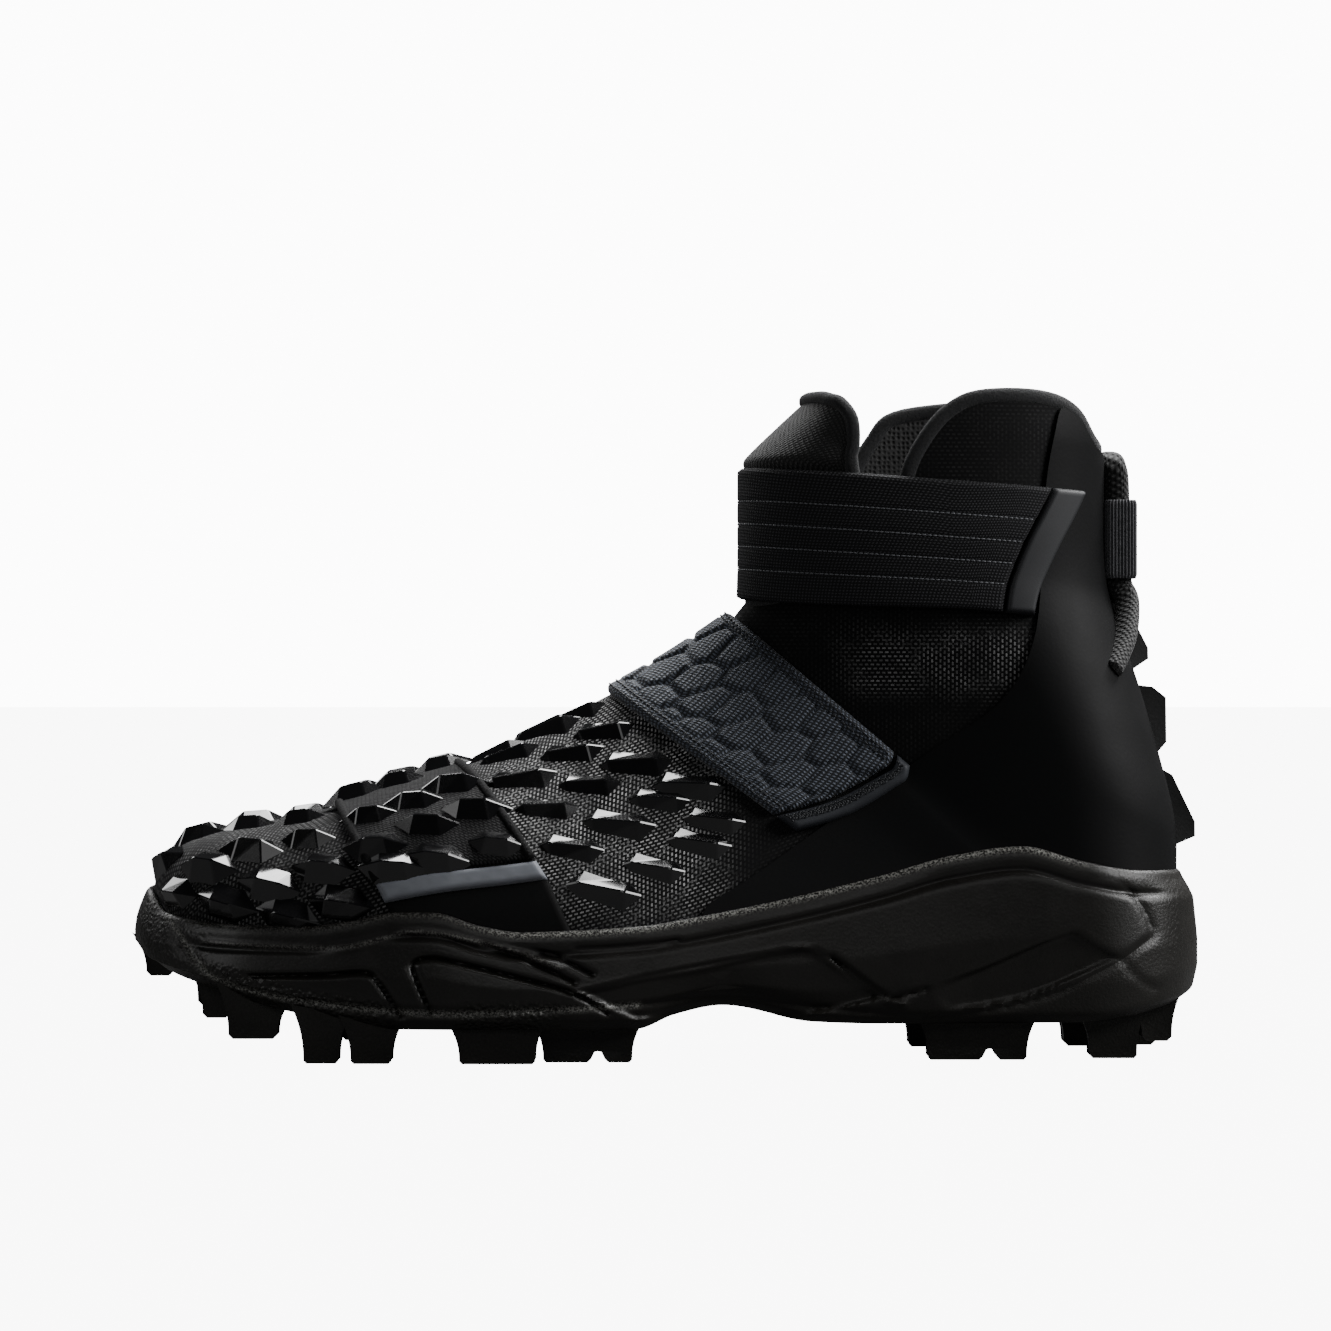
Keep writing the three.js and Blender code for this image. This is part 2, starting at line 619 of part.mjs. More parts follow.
// Facets stand in columns along the form, in rows a pitch apart from the top line down. First is the
// outermost of the upper rows, in pitches from the top line; outer and inner count the rows on each side.
const gemColumns = table(
  ['place', 'first', 'outer', 'inner', 'pitch', 'tilt'],
  [
    [2.5, 1.13, 2, 2, 1.1, 0.1], [3.5, 0.27, 4, 2, 0.98, 0.15], [4.6, 0.8, 4, 3, 0.98, 0.2],
    [5.52, 1.07, 4, 3, 0.95, 0.25], [6.5, 1, 4, 3, 0.88, 0.3], [7.2, 1, 4, 3, 0.86, 0.3],
    [7.85, 0.87, 4, 3, 0.88, 0.35], [8.6, 0.87, 5, 3, 1.02, 0.35], [9.15, 0.6, 5, 3, 1.04, 0.35],
    [9.62, 0.33, 5, 3, 1.06, 0.35],
  ],
);
const STRAP_FROM = 6;
const STRAP_TO = 8.2;

// The turn reached by walking a girth down from the top line, outward positive
function turnAt(place, girth) {
  const side = Math.sign(girth) || 1;
  let turn = 0.5;
  let walked = 0;
  let from = skinPoint(place, turn);
  while (walked < Math.abs(girth) && turn > 0.05 && turn < 0.95) {
    turn -= side * 0.002;
    const next = skinPoint(place, turn);
    walked += next.distanceTo(from);
    from = next;
  }
  return turn;
}

function gem(column, girth, lift, drift) {
  const turn = turnAt(column.place, girth);
  const place = walk(column.place, turn, driftAt(turn, drift));
  const normal = skinNormal(place, turn);
  const forward = skinPoint(place + 0.1, turn).sub(skinPoint(place - 0.1, turn)).normalize();
  const down = new THREE.Vector3().crossVectors(forward, normal).normalize();
  const outerSide = girth >= 0 ? -1 : 1;
  if (down.y * outerSide < 0) down.negate();
  const axis = forward.clone().addScaledVector(down, column.tilt).normalize();
  const across = new THREE.Vector3().crossVectors(normal, axis).normalize();
  const seat = skinOff(place, turn, lift);
  const at = (a, b, c) =>
    seat.clone().addScaledVector(axis, a).addScaledVector(across, b).addScaledVector(normal, c);
  const [l, w] = [GEM_LENGTH / 2, GEM_WIDTH / 2];
  const rims = [[-l, 0], [-l * 0.42, -w], [l * 0.42, -w], [l, 0], [l * 0.42, w], [-l * 0.42, w]];
  const points = rims.map(([a, b]) => at(a, b, -GEM_SINK));
  points.push(at(-l * 0.2, 0, GEM_HEIGHT), at(l * 0.25, 0, GEM_HEIGHT));
  const faces = [
    [0, 1, 6], [1, 2, 7], [1, 7, 6], [2, 3, 7], [3, 4, 7], [4, 5, 6], [4, 6, 7], [5, 0, 6],
    [0, 2, 1], [0, 3, 2], [0, 4, 3], [0, 5, 4],
  ];
  return closed(points, faces);
}

function gems(onStrap, lift) {
  const solids = [];
  for (const column of gemColumns) {
    const strapped = column.place > STRAP_FROM && column.place < STRAP_TO;
    if (strapped !== onStrap) continue;
    for (let i = -column.inner; i < column.outer; i += 1) {
      const girth = (column.first + i * column.pitch) * GEM_PITCH;
      solids.push(gem(column, girth, lift, onStrap ? FOREFOOT_STRAP_DRIFT : 0));
    }
  }
  return solids;
}

// How far the forefoot strap lies towards the heel at a turn: nothing on top, all of it at the outer end
const LEAN_OVER = 0.2;
const leanAt = (turn) => Math.min(Math.abs(turn - 0.5) / LEAN_OVER, 1);
const driftAt = (turn, drift) => (turn < 0.5 ? drift * leanAt(turn) : 0);

// A strap: its middle section, width, thickness, drift and ends, each end given at its front and rear edge
const straps = {
  forefoot: {
    middle: 7, width: FOREFOOT_STRAP_WIDTH, thickness: FOREFOOT_STRAP_THICKNESS, widen: 1.3,
    drift: FOREFOOT_STRAP_DRIFT,
    outer: [0.313, 0.323], hem: [0.29, 0.304], inner: [0.715, 0.715],
  },
  instep: {
    middle: 11.15, width: INSTEP_STRAP_WIDTH, thickness: INSTEP_STRAP_THICKNESS, widen: 0.95, drift: 0,
    outer: [0.329, 0.336], hem: [0.316, 0.327], inner: [0.72, 0.69],
  },
  ankle: {
    middle: 18.5, width: ANKLE_STRAP_WIDTH, thickness: ANKLE_STRAP_THICKNESS, widen: 1, drift: 0,
    outer: [0.227, 0.147], hem: [0.195, 0.097], inner: [0.79, 0.83],
  },
};
function strapSheet(strap, from, to, thickness, undercut) {
  const edge = (across, turn) => {
    const half = (strap.width / 2) * mix(1, strap.widen, leanAt(turn));
    return walk(strap.middle, turn, driftAt(turn, strap.drift) + half * (2 * across - 1));
  };
  const at = (round, across, offset) => {
    const turn = mix(mix(from[0], from[1], across), mix(to[0], to[1], across), round);
    return skinOff(edge(across, turn), turn, offset);
  };
  const rounds = Math.max(3, Math.round(Math.abs(to[0] - from[0]) * 44));
  return sheet(
    rounds, 3,
    (round, across) => at(round, across, -undercut),
    (round, across) => at(round, across, GAP + thickness),
  );
}

// The band of a strap and the tape at its end, cut clear of the form under them
const TAPE_SLIT = 0.0022;
function strapSolids(strap, form) {
  const band = strapSheet(strap, strap.outer, strap.inner, strap.thickness, WALL);
  const tapeEnd = strap.outer.map((turn) => turn - TAPE_SLIT);
  const tape = strapSheet(strap, strap.hem, tapeEnd, strap.thickness + HEM_STEP, WALL);
  return [band.subtract(form), tape.subtract(form)];
}

// The pull loop runs down both sides of the heel from a bend at its top
const LOOP_FAN = 20;
const loopRows = [
  [0.917, 0.905, 0], [0.921, 0.895, 0.055], [0.924, 0.86, 0.062], [0.924, 0.73, 0.062],
  [0.93, 0.69, 0.1], [0.925, 0.635, 0.21], [0.91, 0.585, 0.33],
];
function loopSolid() {
  const place = ([share, height, across], side) =>
    new THREE.Vector3(along(share), side * across * HEEL_WIDTH, up(height));
  const outerLeg = loopRows.slice(1).reverse().map((row) => place(row, -1));
  const path = [...outerLeg, ...loopRows.map((row) => place(row, 1))];
  const line = new THREE.CatmullRomCurve3(path, false, 'centripetal');
  const stops = 20;
  const rings = Array.from({ length: stops + 1 }, (_, i) => {
    const at = line.getPointAt(i / stops);
    const run = line.getTangentAt(i / stops);
    const outward = new THREE.Vector3(1, at.y / LOOP_FAN, 0).normalize();
    const wide = new THREE.Vector3().crossVectors(run, outward).normalize();
    const thick = new THREE.Vector3().crossVectors(wide, run).normalize();
    const [w, t] = [LOOP_WIDTH / 2, LOOP_THICKNESS / 2];
    return [[-w, 0], [-w * 0.7, -t], [w * 0.7, -t], [w, 0], [w * 0.7, t], [-w * 0.7, t]]
      .map(([a, b]) => at.clone().addScaledVector(wide, a).addScaledVector(thick, b));
  });
  return loft(rings);
}

function boxSolid(low, high) {
  const face = [[low[0], low[2]], [high[0], low[2]], [high[0], high[2]], [low[0], high[2]]];
  return slabAcross(face, low[1], high[1]);
}

// Fins down the back of the heel, as side outlines
const finOutlines = [
  [
    [0.885, 0.62], [0.917, 0.682], [0.93, 0.672], [0.946, 0.618],
    [0.946, 0.606], [0.933, 0.592], [0.9, 0.59],
  ],
  [
    [0.9, 0.5], [0.925, 0.559], [0.953, 0.553], [0.963, 0.54],
    [0.963, 0.478], [0.955, 0.463], [0.92, 0.46],
  ],
  [
    [0.92, 0.36], [0.945, 0.443], [0.97, 0.42], [0.99, 0.352],
    [0.99, 0.336], [0.974, 0.325], [0.94, 0.325],
  ],
];
function fin(outline, widthTop) {
  const blade = slabAcross(sideways(outline), -FIN_WIDTH, FIN_WIDTH);
  const heights = outline.map(([, height]) => up(height));
  const [low, high] = [Math.min(...heights), Math.max(...heights)];
  const level = (half, z) =>
    [[0.8, -1], [1.1, -1], [1.1, 1], [0.8, 1]].map(([share, side]) =>
      new THREE.Vector3(along(share), side * half * (share > 1 ? 0.3 : 1.3), z));
  return blade.intersect(loft([level(FIN_WIDTH / 2, low), level(widthTop / 2, high)]));
}

// Pieces
const outerBag = bag(0);
const clearBag = bag(GAP);
const filmBag = bag(GAP + FILM);
const overFilm = bag(2 * GAP + FILM);
const innerBag = bag(-WALL);
const lining = bag(-WALL - GAP);
const soleZone = soleForm(-GAP);

function makeSole() {
  const hollow = clearBag.intersect(aboveFootbed(0));
  const cuts = panelCuts();
  const form = cuts.reduce((solid, cut) => solid.subtract(cut), soleForm(0)).subtract(hollow);
  const midsole = form.subtract(outsoleRegion(GAP));
  const allStuds = [
    ...lateralStuds.map((row) => stud(row, 1)),
    ...medialStuds.map((row) => stud(row, MEDIAL_SPREAD)),
    ...centreStuds.map((row) => stud(row, 1)),
  ];
  const plateForm = form.intersect(outsoleRegion(0));
  const outsole = allStuds.reduce((solid, one) => solid.add(one), plateForm);
  return { midsole, outsole };
}

function makeUpper() {
  const body = gems(false, 0).reduce((solid, one) => solid.add(one.subtract(soleZone)), outerBag);
  return body.subtract(innerBag).intersect(aboveFootbed(GAP)).subtract(openThroat(0));
}

function makeTongue() {
  const lateralEdge = along(0.674);
  const [bendFrom, bendTo] = [up(0.885), up(1.02)];
  const tabLean = 0.62;
  const from = 12.3;
  const to = 22.4;
  const [fromTurn, toTurn] = [0.318, 0.682];
  const at = (across, rise, offset) => {
    const turn = mix(fromTurn, toTurn, across);
    const point = skinOff(mix(from, to, rise), turn, offset);
    const bent = Math.min(Math.max((point.z - bendFrom) / (bendTo - bendFrom), 0), 1);
    point.x = mix(point.x, lateralEdge, tabLean * bent ** 0.8);
    return point;
  };
  const pad = sheet(
    8, 10,
    (across, rise) => at(across, rise, -TONGUE_THICKNESS),
    (across, rise) => at(across, rise, -GAP),
  );
  const tab = sideways([
    [0.45, 0.5], [0.45, 1.05], [0.62, 1.0], [0.634, 0.985], [0.652, 0.98], [0.666, 0.96], [0.672, 0.93],
    [0.675, 0.885], [0.7, 0.8], [0.7, 0.5],
  ]);
  const wallZone = bag(GAP + WALL).subtract(lining).subtract(openThroat(GAP));
  return pad.intersect(outerBag).intersect(slabAcross(tab, -WIDE, WIDE)).subtract(wallZone);
}

function makeQuarter() {
  const collar = spline(sideways(lateralCollar.slice(4)), 10).map(([x, z]) => [x, z - 1.2]);
  const front = sideways(quarterFront);
  const rimLine = stationsAlong(24)
    .map((share) => along(share))
    .filter((x) => x > along(0.52) && x < along(0.99))
    .map((x) => [x, rim(x) - RIM])
    .reverse();
  const top = collar.filter(([x]) => x > front.at(-1)[0] + 1);
  const back = [[along(1.02), top.at(-1)[1]], [along(1.02), rim(along(1)) - RIM]];
  const outline = [...front, ...top, ...back, ...rimLine];
  return filmBag.subtract(clearBag).intersect(slabAcross(outline, -WIDE, WIDE)).subtract(soleZone);
}

function makeStraps() {
  const film = makeQuarter();
  const form = clearBag.add(overFilm.intersect(filmZone())).add(soleZone);
  const [forefoot, forefootHem] = strapSolids(straps.forefoot, form);
  const [instep, instepHem] = strapSolids(straps.instep, form);
  const [ankle, ankleHem] = strapSolids(straps.ankle, form);
  const jewelled = gems(true, FOREFOOT_STRAP_THICKNESS).reduce((solid, one) => solid.add(one), forefoot);
  const forefootBand = jewelled.subtract(form).subtract(forefootHem);
  return { film, forefoot: forefootBand, forefootHem, instep, instepHem, ankle, ankleHem };
}

// The zone of the quarter film, grown by a clearance, which what lies over the film keeps clear of
function filmZone() {
  const front = sideways(quarterFront).map(([x, z]) => [x - 2 * GAP, z + GAP]);
  const around = [[front.at(-1)[0], ABOVE], [along(1.1), ABOVE], [along(1.1), 0], [front[0][0], 0]];
  const outline = [...front, ...around];
  return slabAcross(outline, -WIDE, WIDE);
}

function makeHeelTrim() {
  const loop = loopSolid().subtract(overFilm);
  const [low, high] = [up(0.725), up(0.845)];
  const reach = 1.4 * LOOP_WIDTH;
  const [front, back] = [along(0.9085), along(0.9405)];
  const bore = boxSolid(
    [front + WRAP_WALL, -reach + WRAP_WALL, low - 1],
    [back - WRAP_WALL, reach - WRAP_WALL, high + 1],
  );
  const wrap = boxSolid([front, -reach, low], [back, reach, high]).subtract(bore).subtract(overFilm);
  const fins = finOutlines.map((outline, i) => fin(outline, FIN_TOPS[i]).subtract(overFilm));
  return { loop, wrap, fins };
}

const { midsole, outsole } = makeSole();
const insole = lining.intersect(aboveFootbed(GAP)).subtract(aboveFootbed(GAP + INSOLE_THICKNESS));
const strapSet = makeStraps();
const heelTrim = makeHeelTrim();

// Colours and finishes
const finish = (color, roughness, metalness = 0) =>
  new THREE.MeshStandardMaterial({ color, roughness, metalness });
const rubber = finish('#1c1c1b', 0.6);
const foam = finish('#201f1e', 0.55);
const knit = finish('#242424', 0.85);
const glossy = finish('#0d0d0e', 0.25);
const webbing = finish('#1a1a1b', 0.8);
const ribbed = finish('#23262b', 0.75);
const tape = finish('#4a4e55', 0.5);

const pieces = [
  ['outsole', outsole, rubber],
  ['midsole', midsole, foam],
  ['insole', insole, foam],
  ['upper', makeUpper(), knit],
  ['heel_quarter', strapSet.film, glossy],
  ['tongue', makeTongue(), knit],
  ['forefoot_strap', strapSet.forefoot, glossy],
  ['forefoot_strap_hem', strapSet.forefootHem, tape],
  ['instep_strap', strapSet.instep, ribbed],
  ['instep_strap_hem', strapSet.instepHem, tape],
  ['ankle_strap', strapSet.ankle, webbing],
  ['ankle_strap_hem', strapSet.ankleHem, tape],
  ['pull_loop', heelTrim.loop, knit],
  ['pull_loop_wrap', heelTrim.wrap, webbing],
  ...heelTrim.fins.map((solid, i) => [`heel_fin_${i + 1}`, solid, rubber]),
];

function meshOf(name, solid, material) {
  const { vertProperties, triVerts, numProp } = solid.getMesh();
  const position = new Float32Array((vertProperties.length / numProp) * 3);
  for (let i = 0; i < vertProperties.length / numProp; i += 1) {
    position.set(vertProperties.subarray(i * numProp, i * numProp + 3), i * 3);
  }
  const geometry = new THREE.BufferGeometry();
  geometry.setAttribute('position', new THREE.BufferAttribute(position, 3));
  geometry.setIndex(new THREE.BufferAttribute(new Uint32Array(triVerts), 1));
  geometry.computeVertexNormals();
  const mesh = new THREE.Mesh(geometry, material);
  mesh.name = name;
  return mesh;
}

const shoe = new THREE.Group();
for (const [name, solid, material] of pieces) shoe.add(meshOf(name, solid, material));
const box = new THREE.Box3().setFromObject(shoe);
shoe.position.set(-(box.min.x + box.max.x) / 2, -(box.min.y + box.max.y) / 2, -box.min.z);

export default shoe;
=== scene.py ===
# %% [markdown]
# # A black american football cleat, left shoe
# The shoe stands on its studs with the toe to the left and its outer side to the camera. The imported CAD
# model gives every piece its place and size. This script dresses it: a fine skin for knit, film, webbing
# and rubber is laid over the same foot form, and each finish is mixed for its real material.

# %% Load the frame
import math

import bmesh
import bpy
import numpy as np
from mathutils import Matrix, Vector


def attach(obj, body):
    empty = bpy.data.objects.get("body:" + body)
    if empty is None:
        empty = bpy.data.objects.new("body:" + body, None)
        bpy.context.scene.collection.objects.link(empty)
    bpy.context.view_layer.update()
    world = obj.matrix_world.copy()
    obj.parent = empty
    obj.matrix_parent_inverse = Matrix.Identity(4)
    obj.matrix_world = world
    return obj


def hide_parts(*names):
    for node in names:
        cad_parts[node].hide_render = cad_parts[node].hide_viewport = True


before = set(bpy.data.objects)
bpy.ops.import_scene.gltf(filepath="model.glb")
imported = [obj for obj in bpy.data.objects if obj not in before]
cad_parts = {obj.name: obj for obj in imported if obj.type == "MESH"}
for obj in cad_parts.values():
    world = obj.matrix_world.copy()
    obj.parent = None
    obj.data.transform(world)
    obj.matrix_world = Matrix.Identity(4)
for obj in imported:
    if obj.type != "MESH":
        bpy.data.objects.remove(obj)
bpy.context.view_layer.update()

# %% [markdown]
# ## Units, colour and nodes
# All sizes below are in millimetres, as on a pattern cutter's sheet, and become metres where a mesh is
# made. Colours are written as sRGB hex, the way a paint program shows them. Blender wants linear light,
# so one function converts them.

# %% Small helpers
MM = 0.001


def paint(code):
    """An sRGB hex colour as linear red, green, blue and alpha."""
    shares = [int(code[i : i + 2], 16) / 255 for i in (1, 3, 5)]
    return [s / 12.92 if s <= 0.04045 else ((s + 0.055) / 1.055) ** 2.4 for s in shares] + [1.0]


# A Mix node that mixes colours has them on these sockets, and the result on this output
DARK, LIGHT, MIXED = 6, 7, 2


def node(tree, kind, inputs=None, **settings):
    """Adds one node, with its settings, values and links."""
    made = tree.nodes.new(kind)
    for key, value in settings.items():
        setattr(made, key, value)
    for key, value in (inputs or {}).items():
        if isinstance(value, bpy.types.NodeSocket):
            tree.links.new(value, made.inputs[key])
        else:
            made.inputs[key].default_value = value
    return made


def finish(name):
    """A new material with a Principled shader, ready to be wired."""
    made = bpy.data.materials.new(name)
    made.use_nodes = True
    tree = made.node_tree
    return made, tree, tree.nodes["Principled BSDF"]


# %% [markdown]
# ## Camera and studio
# The photograph looks straight at the outer side, level with the middle of the shoe, through a long lens:
# hardly any perspective shows. The long lens is set by the width of the view at the shoe. The studio is a
# pale floor in a pale room. Glossy black rubber shows mostly what it mirrors, so the room is kept dim for
# reflections, and soft lamps above and behind draw the bright edges.

# %% Camera
CAMERA_DISTANCE = 1450
CAMERA_HEIGHT = 110.7
VIEW_WIDTH = 381.5
SENSOR = 36

camera_data = bpy.data.cameras.new("camera")
camera_data.sensor_width = SENSOR
camera_data.sensor_fit = "HORIZONTAL"
camera_data.lens = SENSOR * CAMERA_DISTANCE / VIEW_WIDTH
camera_data.clip_end = 50
camera = bpy.data.objects.new("camera", camera_data)
camera.location = (0, -CAMERA_DISTANCE * MM, CAMERA_HEIGHT * MM)
camera.rotation_euler = (math.radians(90), 0, 0)
bpy.context.scene.collection.objects.link(camera)
bpy.context.scene.camera = camera
print("lens", round(camera_data.lens, 1), "mm")

# %% Floor and room
FLOOR_REACH = 12  # metres from the middle
SEEN_FLOOR_GLOW = 9.0
CAST_FLOOR_GLOW = 0.04
SEEN_ROOM = 12.0
CAST_ROOM = 0.02

floor_mesh = bpy.data.meshes.new("floor")
corners = [(x * FLOOR_REACH, y * FLOOR_REACH, 0) for x, y in ((-1, -1), (1, -1), (1, 1), (-1, 1))]
floor_mesh.from_pydata(corners, [], [(0, 1, 2, 3)])
floor = bpy.data.objects.new("floor", floor_mesh)
bpy.context.scene.collection.objects.link(floor)
# Matte paint has no shine, so the floor stays an even pale sheet under the shoe
floor_paint, tree, shader = finish("matte studio floor paint")
shader.inputs["Base Color"].default_value = paint("#404040")
shader.inputs["Roughness"].default_value = 0.9
shader.inputs["Specular IOR Level"].default_value = 0.1
shader.inputs["Emission Color"].default_value = paint("#ffffff")
floor_rays = node(tree, "ShaderNodeLightPath")
floor_glow = node(
    tree, "ShaderNodeMapRange",
    {"Value": floor_rays.outputs["Is Camera Ray"], "To Min": CAST_FLOOR_GLOW, "To Max": SEEN_FLOOR_GLOW},
)
tree.links.new(floor_glow.outputs[0], shader.inputs["Emission Strength"])
floor_mesh.materials.append(floor_paint)

world = bpy.data.worlds.new("room")
bpy.context.scene.world = world
world.use_nodes = True
room = world.node_tree
room.nodes.clear()
seen = node(room, "ShaderNodeBackground", {"Color": paint("#ffffff"), "Strength": SEEN_ROOM})
lit = node(room, "ShaderNodeBackground", {"Color": paint("#eef1f6"), "Strength": CAST_ROOM})
rays = node(room, "ShaderNodeLightPath")
mixed = node(
    room, "ShaderNodeMixShader",
    {0: rays.outputs["Is Camera Ray"], 1: lit.outputs[0], 2: seen.outputs[0]},
)
node(room, "ShaderNodeOutputWorld", {"Surface": mixed.outputs[0]})
print("floor and room stand round the shoe")

# %% Lamps
LAMPS = [
    # name, place, looks at, width, height, watts
    ("rim_behind_right", (0.75, 0.6, 1.1), (0.02, 0, 0.08), 0.7, 0.35, 20),
    ("side_right", (1.15, -0.3, 0.75), (0.02, 0, 0.07), 0.6, 0.6, 15.5),
    ("side_left", (-1.15, -0.55, 0.6), (0, 0, 0.07), 0.6, 0.5, 1.8),
    ("top_behind", (0.18, 0.35, 1.12), (0, 0, 0.08), 1.0, 0.45, 23),
    ("rear_left", (-0.8, 0.9, 0.7), (0, 0, 0.08), 0.7, 0.4, 3.5),
    ("front_fill", (0.1, -1.7, 1.0), (0, 0, 0.08), 1.2, 0.5, 2.2),
]
for name, place, aim, width, height, watts in LAMPS:
    lamp_data = bpy.data.lights.new(name, "AREA")
    lamp_data.shape = "RECTANGLE"
    lamp_data.size = width
    lamp_data.size_y = height
    lamp_data.energy = watts
    lamp = bpy.data.objects.new(name, lamp_data)
    lamp.location = place
    to_aim = np.array(aim) - np.array(place)
    lamp.rotation_euler = (
        math.acos(-to_aim[2] / np.linalg.norm(to_aim)),
        0,
        math.atan2(to_aim[1], to_aim[0]) - math.pi / 2,
    )
    bpy.context.scene.collection.objects.link(lamp)
print("lamps:", len(LAMPS))

# %% [markdown]
# ## The foot form
# A shoemaker starts with a last, a solid foot form. Ours is a row of 24 sections that stand on the sole
# and lean back from toe to heel, then lie level up the ankle. Each section is a table row: where its base
# and top are, how far it reaches to each side and how round it is. Smooth curves run through the rows, so
# any point of the skin is found from a place (which section) and a turn (how far round it).

# %% Named sizes of the shoe, in millimetres
LENGTH = 305
BALL_WIDTH = 99
HEEL_WIDTH = 69
STUD_HEIGHT = 10.8
INSTEP_HEIGHT = 122.3
COLLAR_HEIGHT = 187
STUD_LEVEL = 0.058
INSTEP_LEVEL = 0.654
SHIFT = np.array([0.567, 1.163, 0.0])  # centres the shoe's box on the origin
WALL = 2.2
GAP = 0.3
FILM = 1.0


def along(share):
    """The x of a share of the shoe's length, from the toe."""
    return (np.asarray(share, float) - 0.5) * LENGTH


def up(share):
    """The height of a share of the collar's height. Studs and instep keep their own heights."""
    past = 1.2
    top = COLLAR_HEIGHT + (past - 1) * (COLLAR_HEIGHT - INSTEP_HEIGHT) / (1 - INSTEP_LEVEL)
    return np.interp(share, [0, STUD_LEVEL, INSTEP_LEVEL, past], [0, STUD_HEIGHT, INSTEP_HEIGHT, top])


def curve(xs, ys):
    """A smooth curve through given values that never swings past them."""
    xs, ys = np.asarray(xs, float), np.asarray(ys, float)
    steps = np.diff(ys) / np.diff(xs)
    before, after = steps[:-1], steps[1:]
    same = before * after > 0
    bends = np.where(same, 2 * before * after / np.where(same, before + after, 1), 0)
    slopes = np.concatenate([steps[:1], bends, steps[-1:]])

    def value(x):
        x = np.clip(x, xs[0], xs[-1])
        i = np.clip(np.searchsorted(xs, x, side="right") - 1, 0, len(xs) - 2)
        width = xs[i + 1] - xs[i]
        t = (x - xs[i]) / width
        return (
            (2 * t**3 - 3 * t**2 + 1) * ys[i]
            + (t**3 - 2 * t**2 + t) * width * slopes[i]
            + (3 * t**2 - 2 * t**3) * ys[i + 1]
            + (t**3 - t**2) * width * slopes[i + 1]
        )

    return value


print("the shoe is", LENGTH, "mm long and", COLLAR_HEIGHT, "mm high")

# %% Sections of the last
COLUMNS = ["topX", "topZ", "baseX", "baseZ", "lateral", "medial", "centre", "belly", "crown", "floor"]
FOREFOOT = [
    [0.016, 0.233, 0.016, 0.194, 0.05, 0.05, 0.076, 0.5, 2.0, 2.0],
    [0.018, 0.269, 0.018, 0.167, 0.13, 0.13, 0.076, 0.5, 2.0, 2.0],
    [0.028, 0.301, 0.031, 0.148, 0.23, 0.22, 0.071, 0.45, 2.2, 2.4],
    [0.053, 0.328, 0.06, 0.128, 0.333, 0.318, 0.061, 0.4, 2.5, 3.0],
    [0.095, 0.346, 0.114, 0.102, 0.404, 0.389, 0.04, 0.36, 2.6, 3.6],
    [0.142, 0.358, 0.18, 0.082, 0.449, 0.429, 0.03, 0.34, 2.5, 4.0],
    [0.189, 0.377, 0.271, 0.072, 0.495, 0.449, 0.025, 0.33, 2.4, 4.5],
    [0.246, 0.407, 0.344, 0.07, 0.515, 0.449, 0.02, 0.32, 2.3, 4.5],
    [0.302, 0.435, 0.485, 0.073, 0.51, 0.404, 0.015, 0.3, 2.15, 4.5],
    [0.368, 0.485, 0.626, 0.087, 0.449, 0.333, 0.01, 0.27, 2.0, 4.5],
    [0.438, 0.541, 0.786, 0.102, 0.389, 0.318, 0.005, 0.24, 1.95, 4.5],
]
HEEL = [
    [0.5, 0.597, 0.871, 0.102, 0.529, 0.471, 0.007, 0.22, 1.9, 4.0],
    [0.553, 0.654, 0.922, 0.105, 0.514, 0.486, 0, 0.22, 1.9, 3.4],
    [0.561, 0.663, 0.955, 0.133, 0.507, 0.486, 0, 0.24, 1.95, 2.6],
    [0.565, 0.672, 0.972, 0.21, 0.507, 0.493, 0, 0.26, 2.0, 2.3],
    [0.569, 0.68, 0.974, 0.324, 0.507, 0.493, 0, 0.27, 2.0, 2.1],
    [0.572, 0.686, 0.955, 0.47, 0.507, 0.5, 0, 0.3, 2.0, 2.1],
    [0.574, 0.692, 0.922, 0.643, 0.514, 0.507, 0, 0.38, 2.1, 2.2],
    [0.575, 0.758, 0.909, 0.715, 0.514, 0.514, 0, 0.43, 2.2, 2.2],
    [0.575, 0.826, 0.906, 0.787, 0.522, 0.522, 0, 0.45, 2.2, 2.2],
    [0.575, 0.892, 0.906, 0.858, 0.522, 0.522, 0, 0.45, 2.2, 2.2],
    [0.581, 0.953, 0.906, 0.922, 0.522, 0.522, 0, 0.45, 2.2, 2.2],
    [0.594, 1.014, 0.899, 0.999, 0.514, 0.514, 0, 0.45, 2.2, 2.2],
    [0.603, 1.045, 0.894, 1.03, 0.507, 0.507, 0, 0.45, 2.2, 2.2],
]


def sized(rows, width):
    rows = np.array(rows)
    places, heights = along(rows[:, [0, 2]]), up(rows[:, [1, 3]])
    ends = [places[:, 0], heights[:, 0], places[:, 1], heights[:, 1]]
    return np.column_stack([*ends, rows[:, 4:7] * width, rows[:, 7:]])


SECTIONS = np.vstack([sized(FOREFOOT, BALL_WIDTH), sized(HEEL, HEEL_WIDTH)])
LAST = len(SECTIONS) - 1
CURVES = {name: curve(np.arange(LAST + 1), SECTIONS[:, i]) for i, name in enumerate(COLUMNS)}
print("sections", LAST + 1)


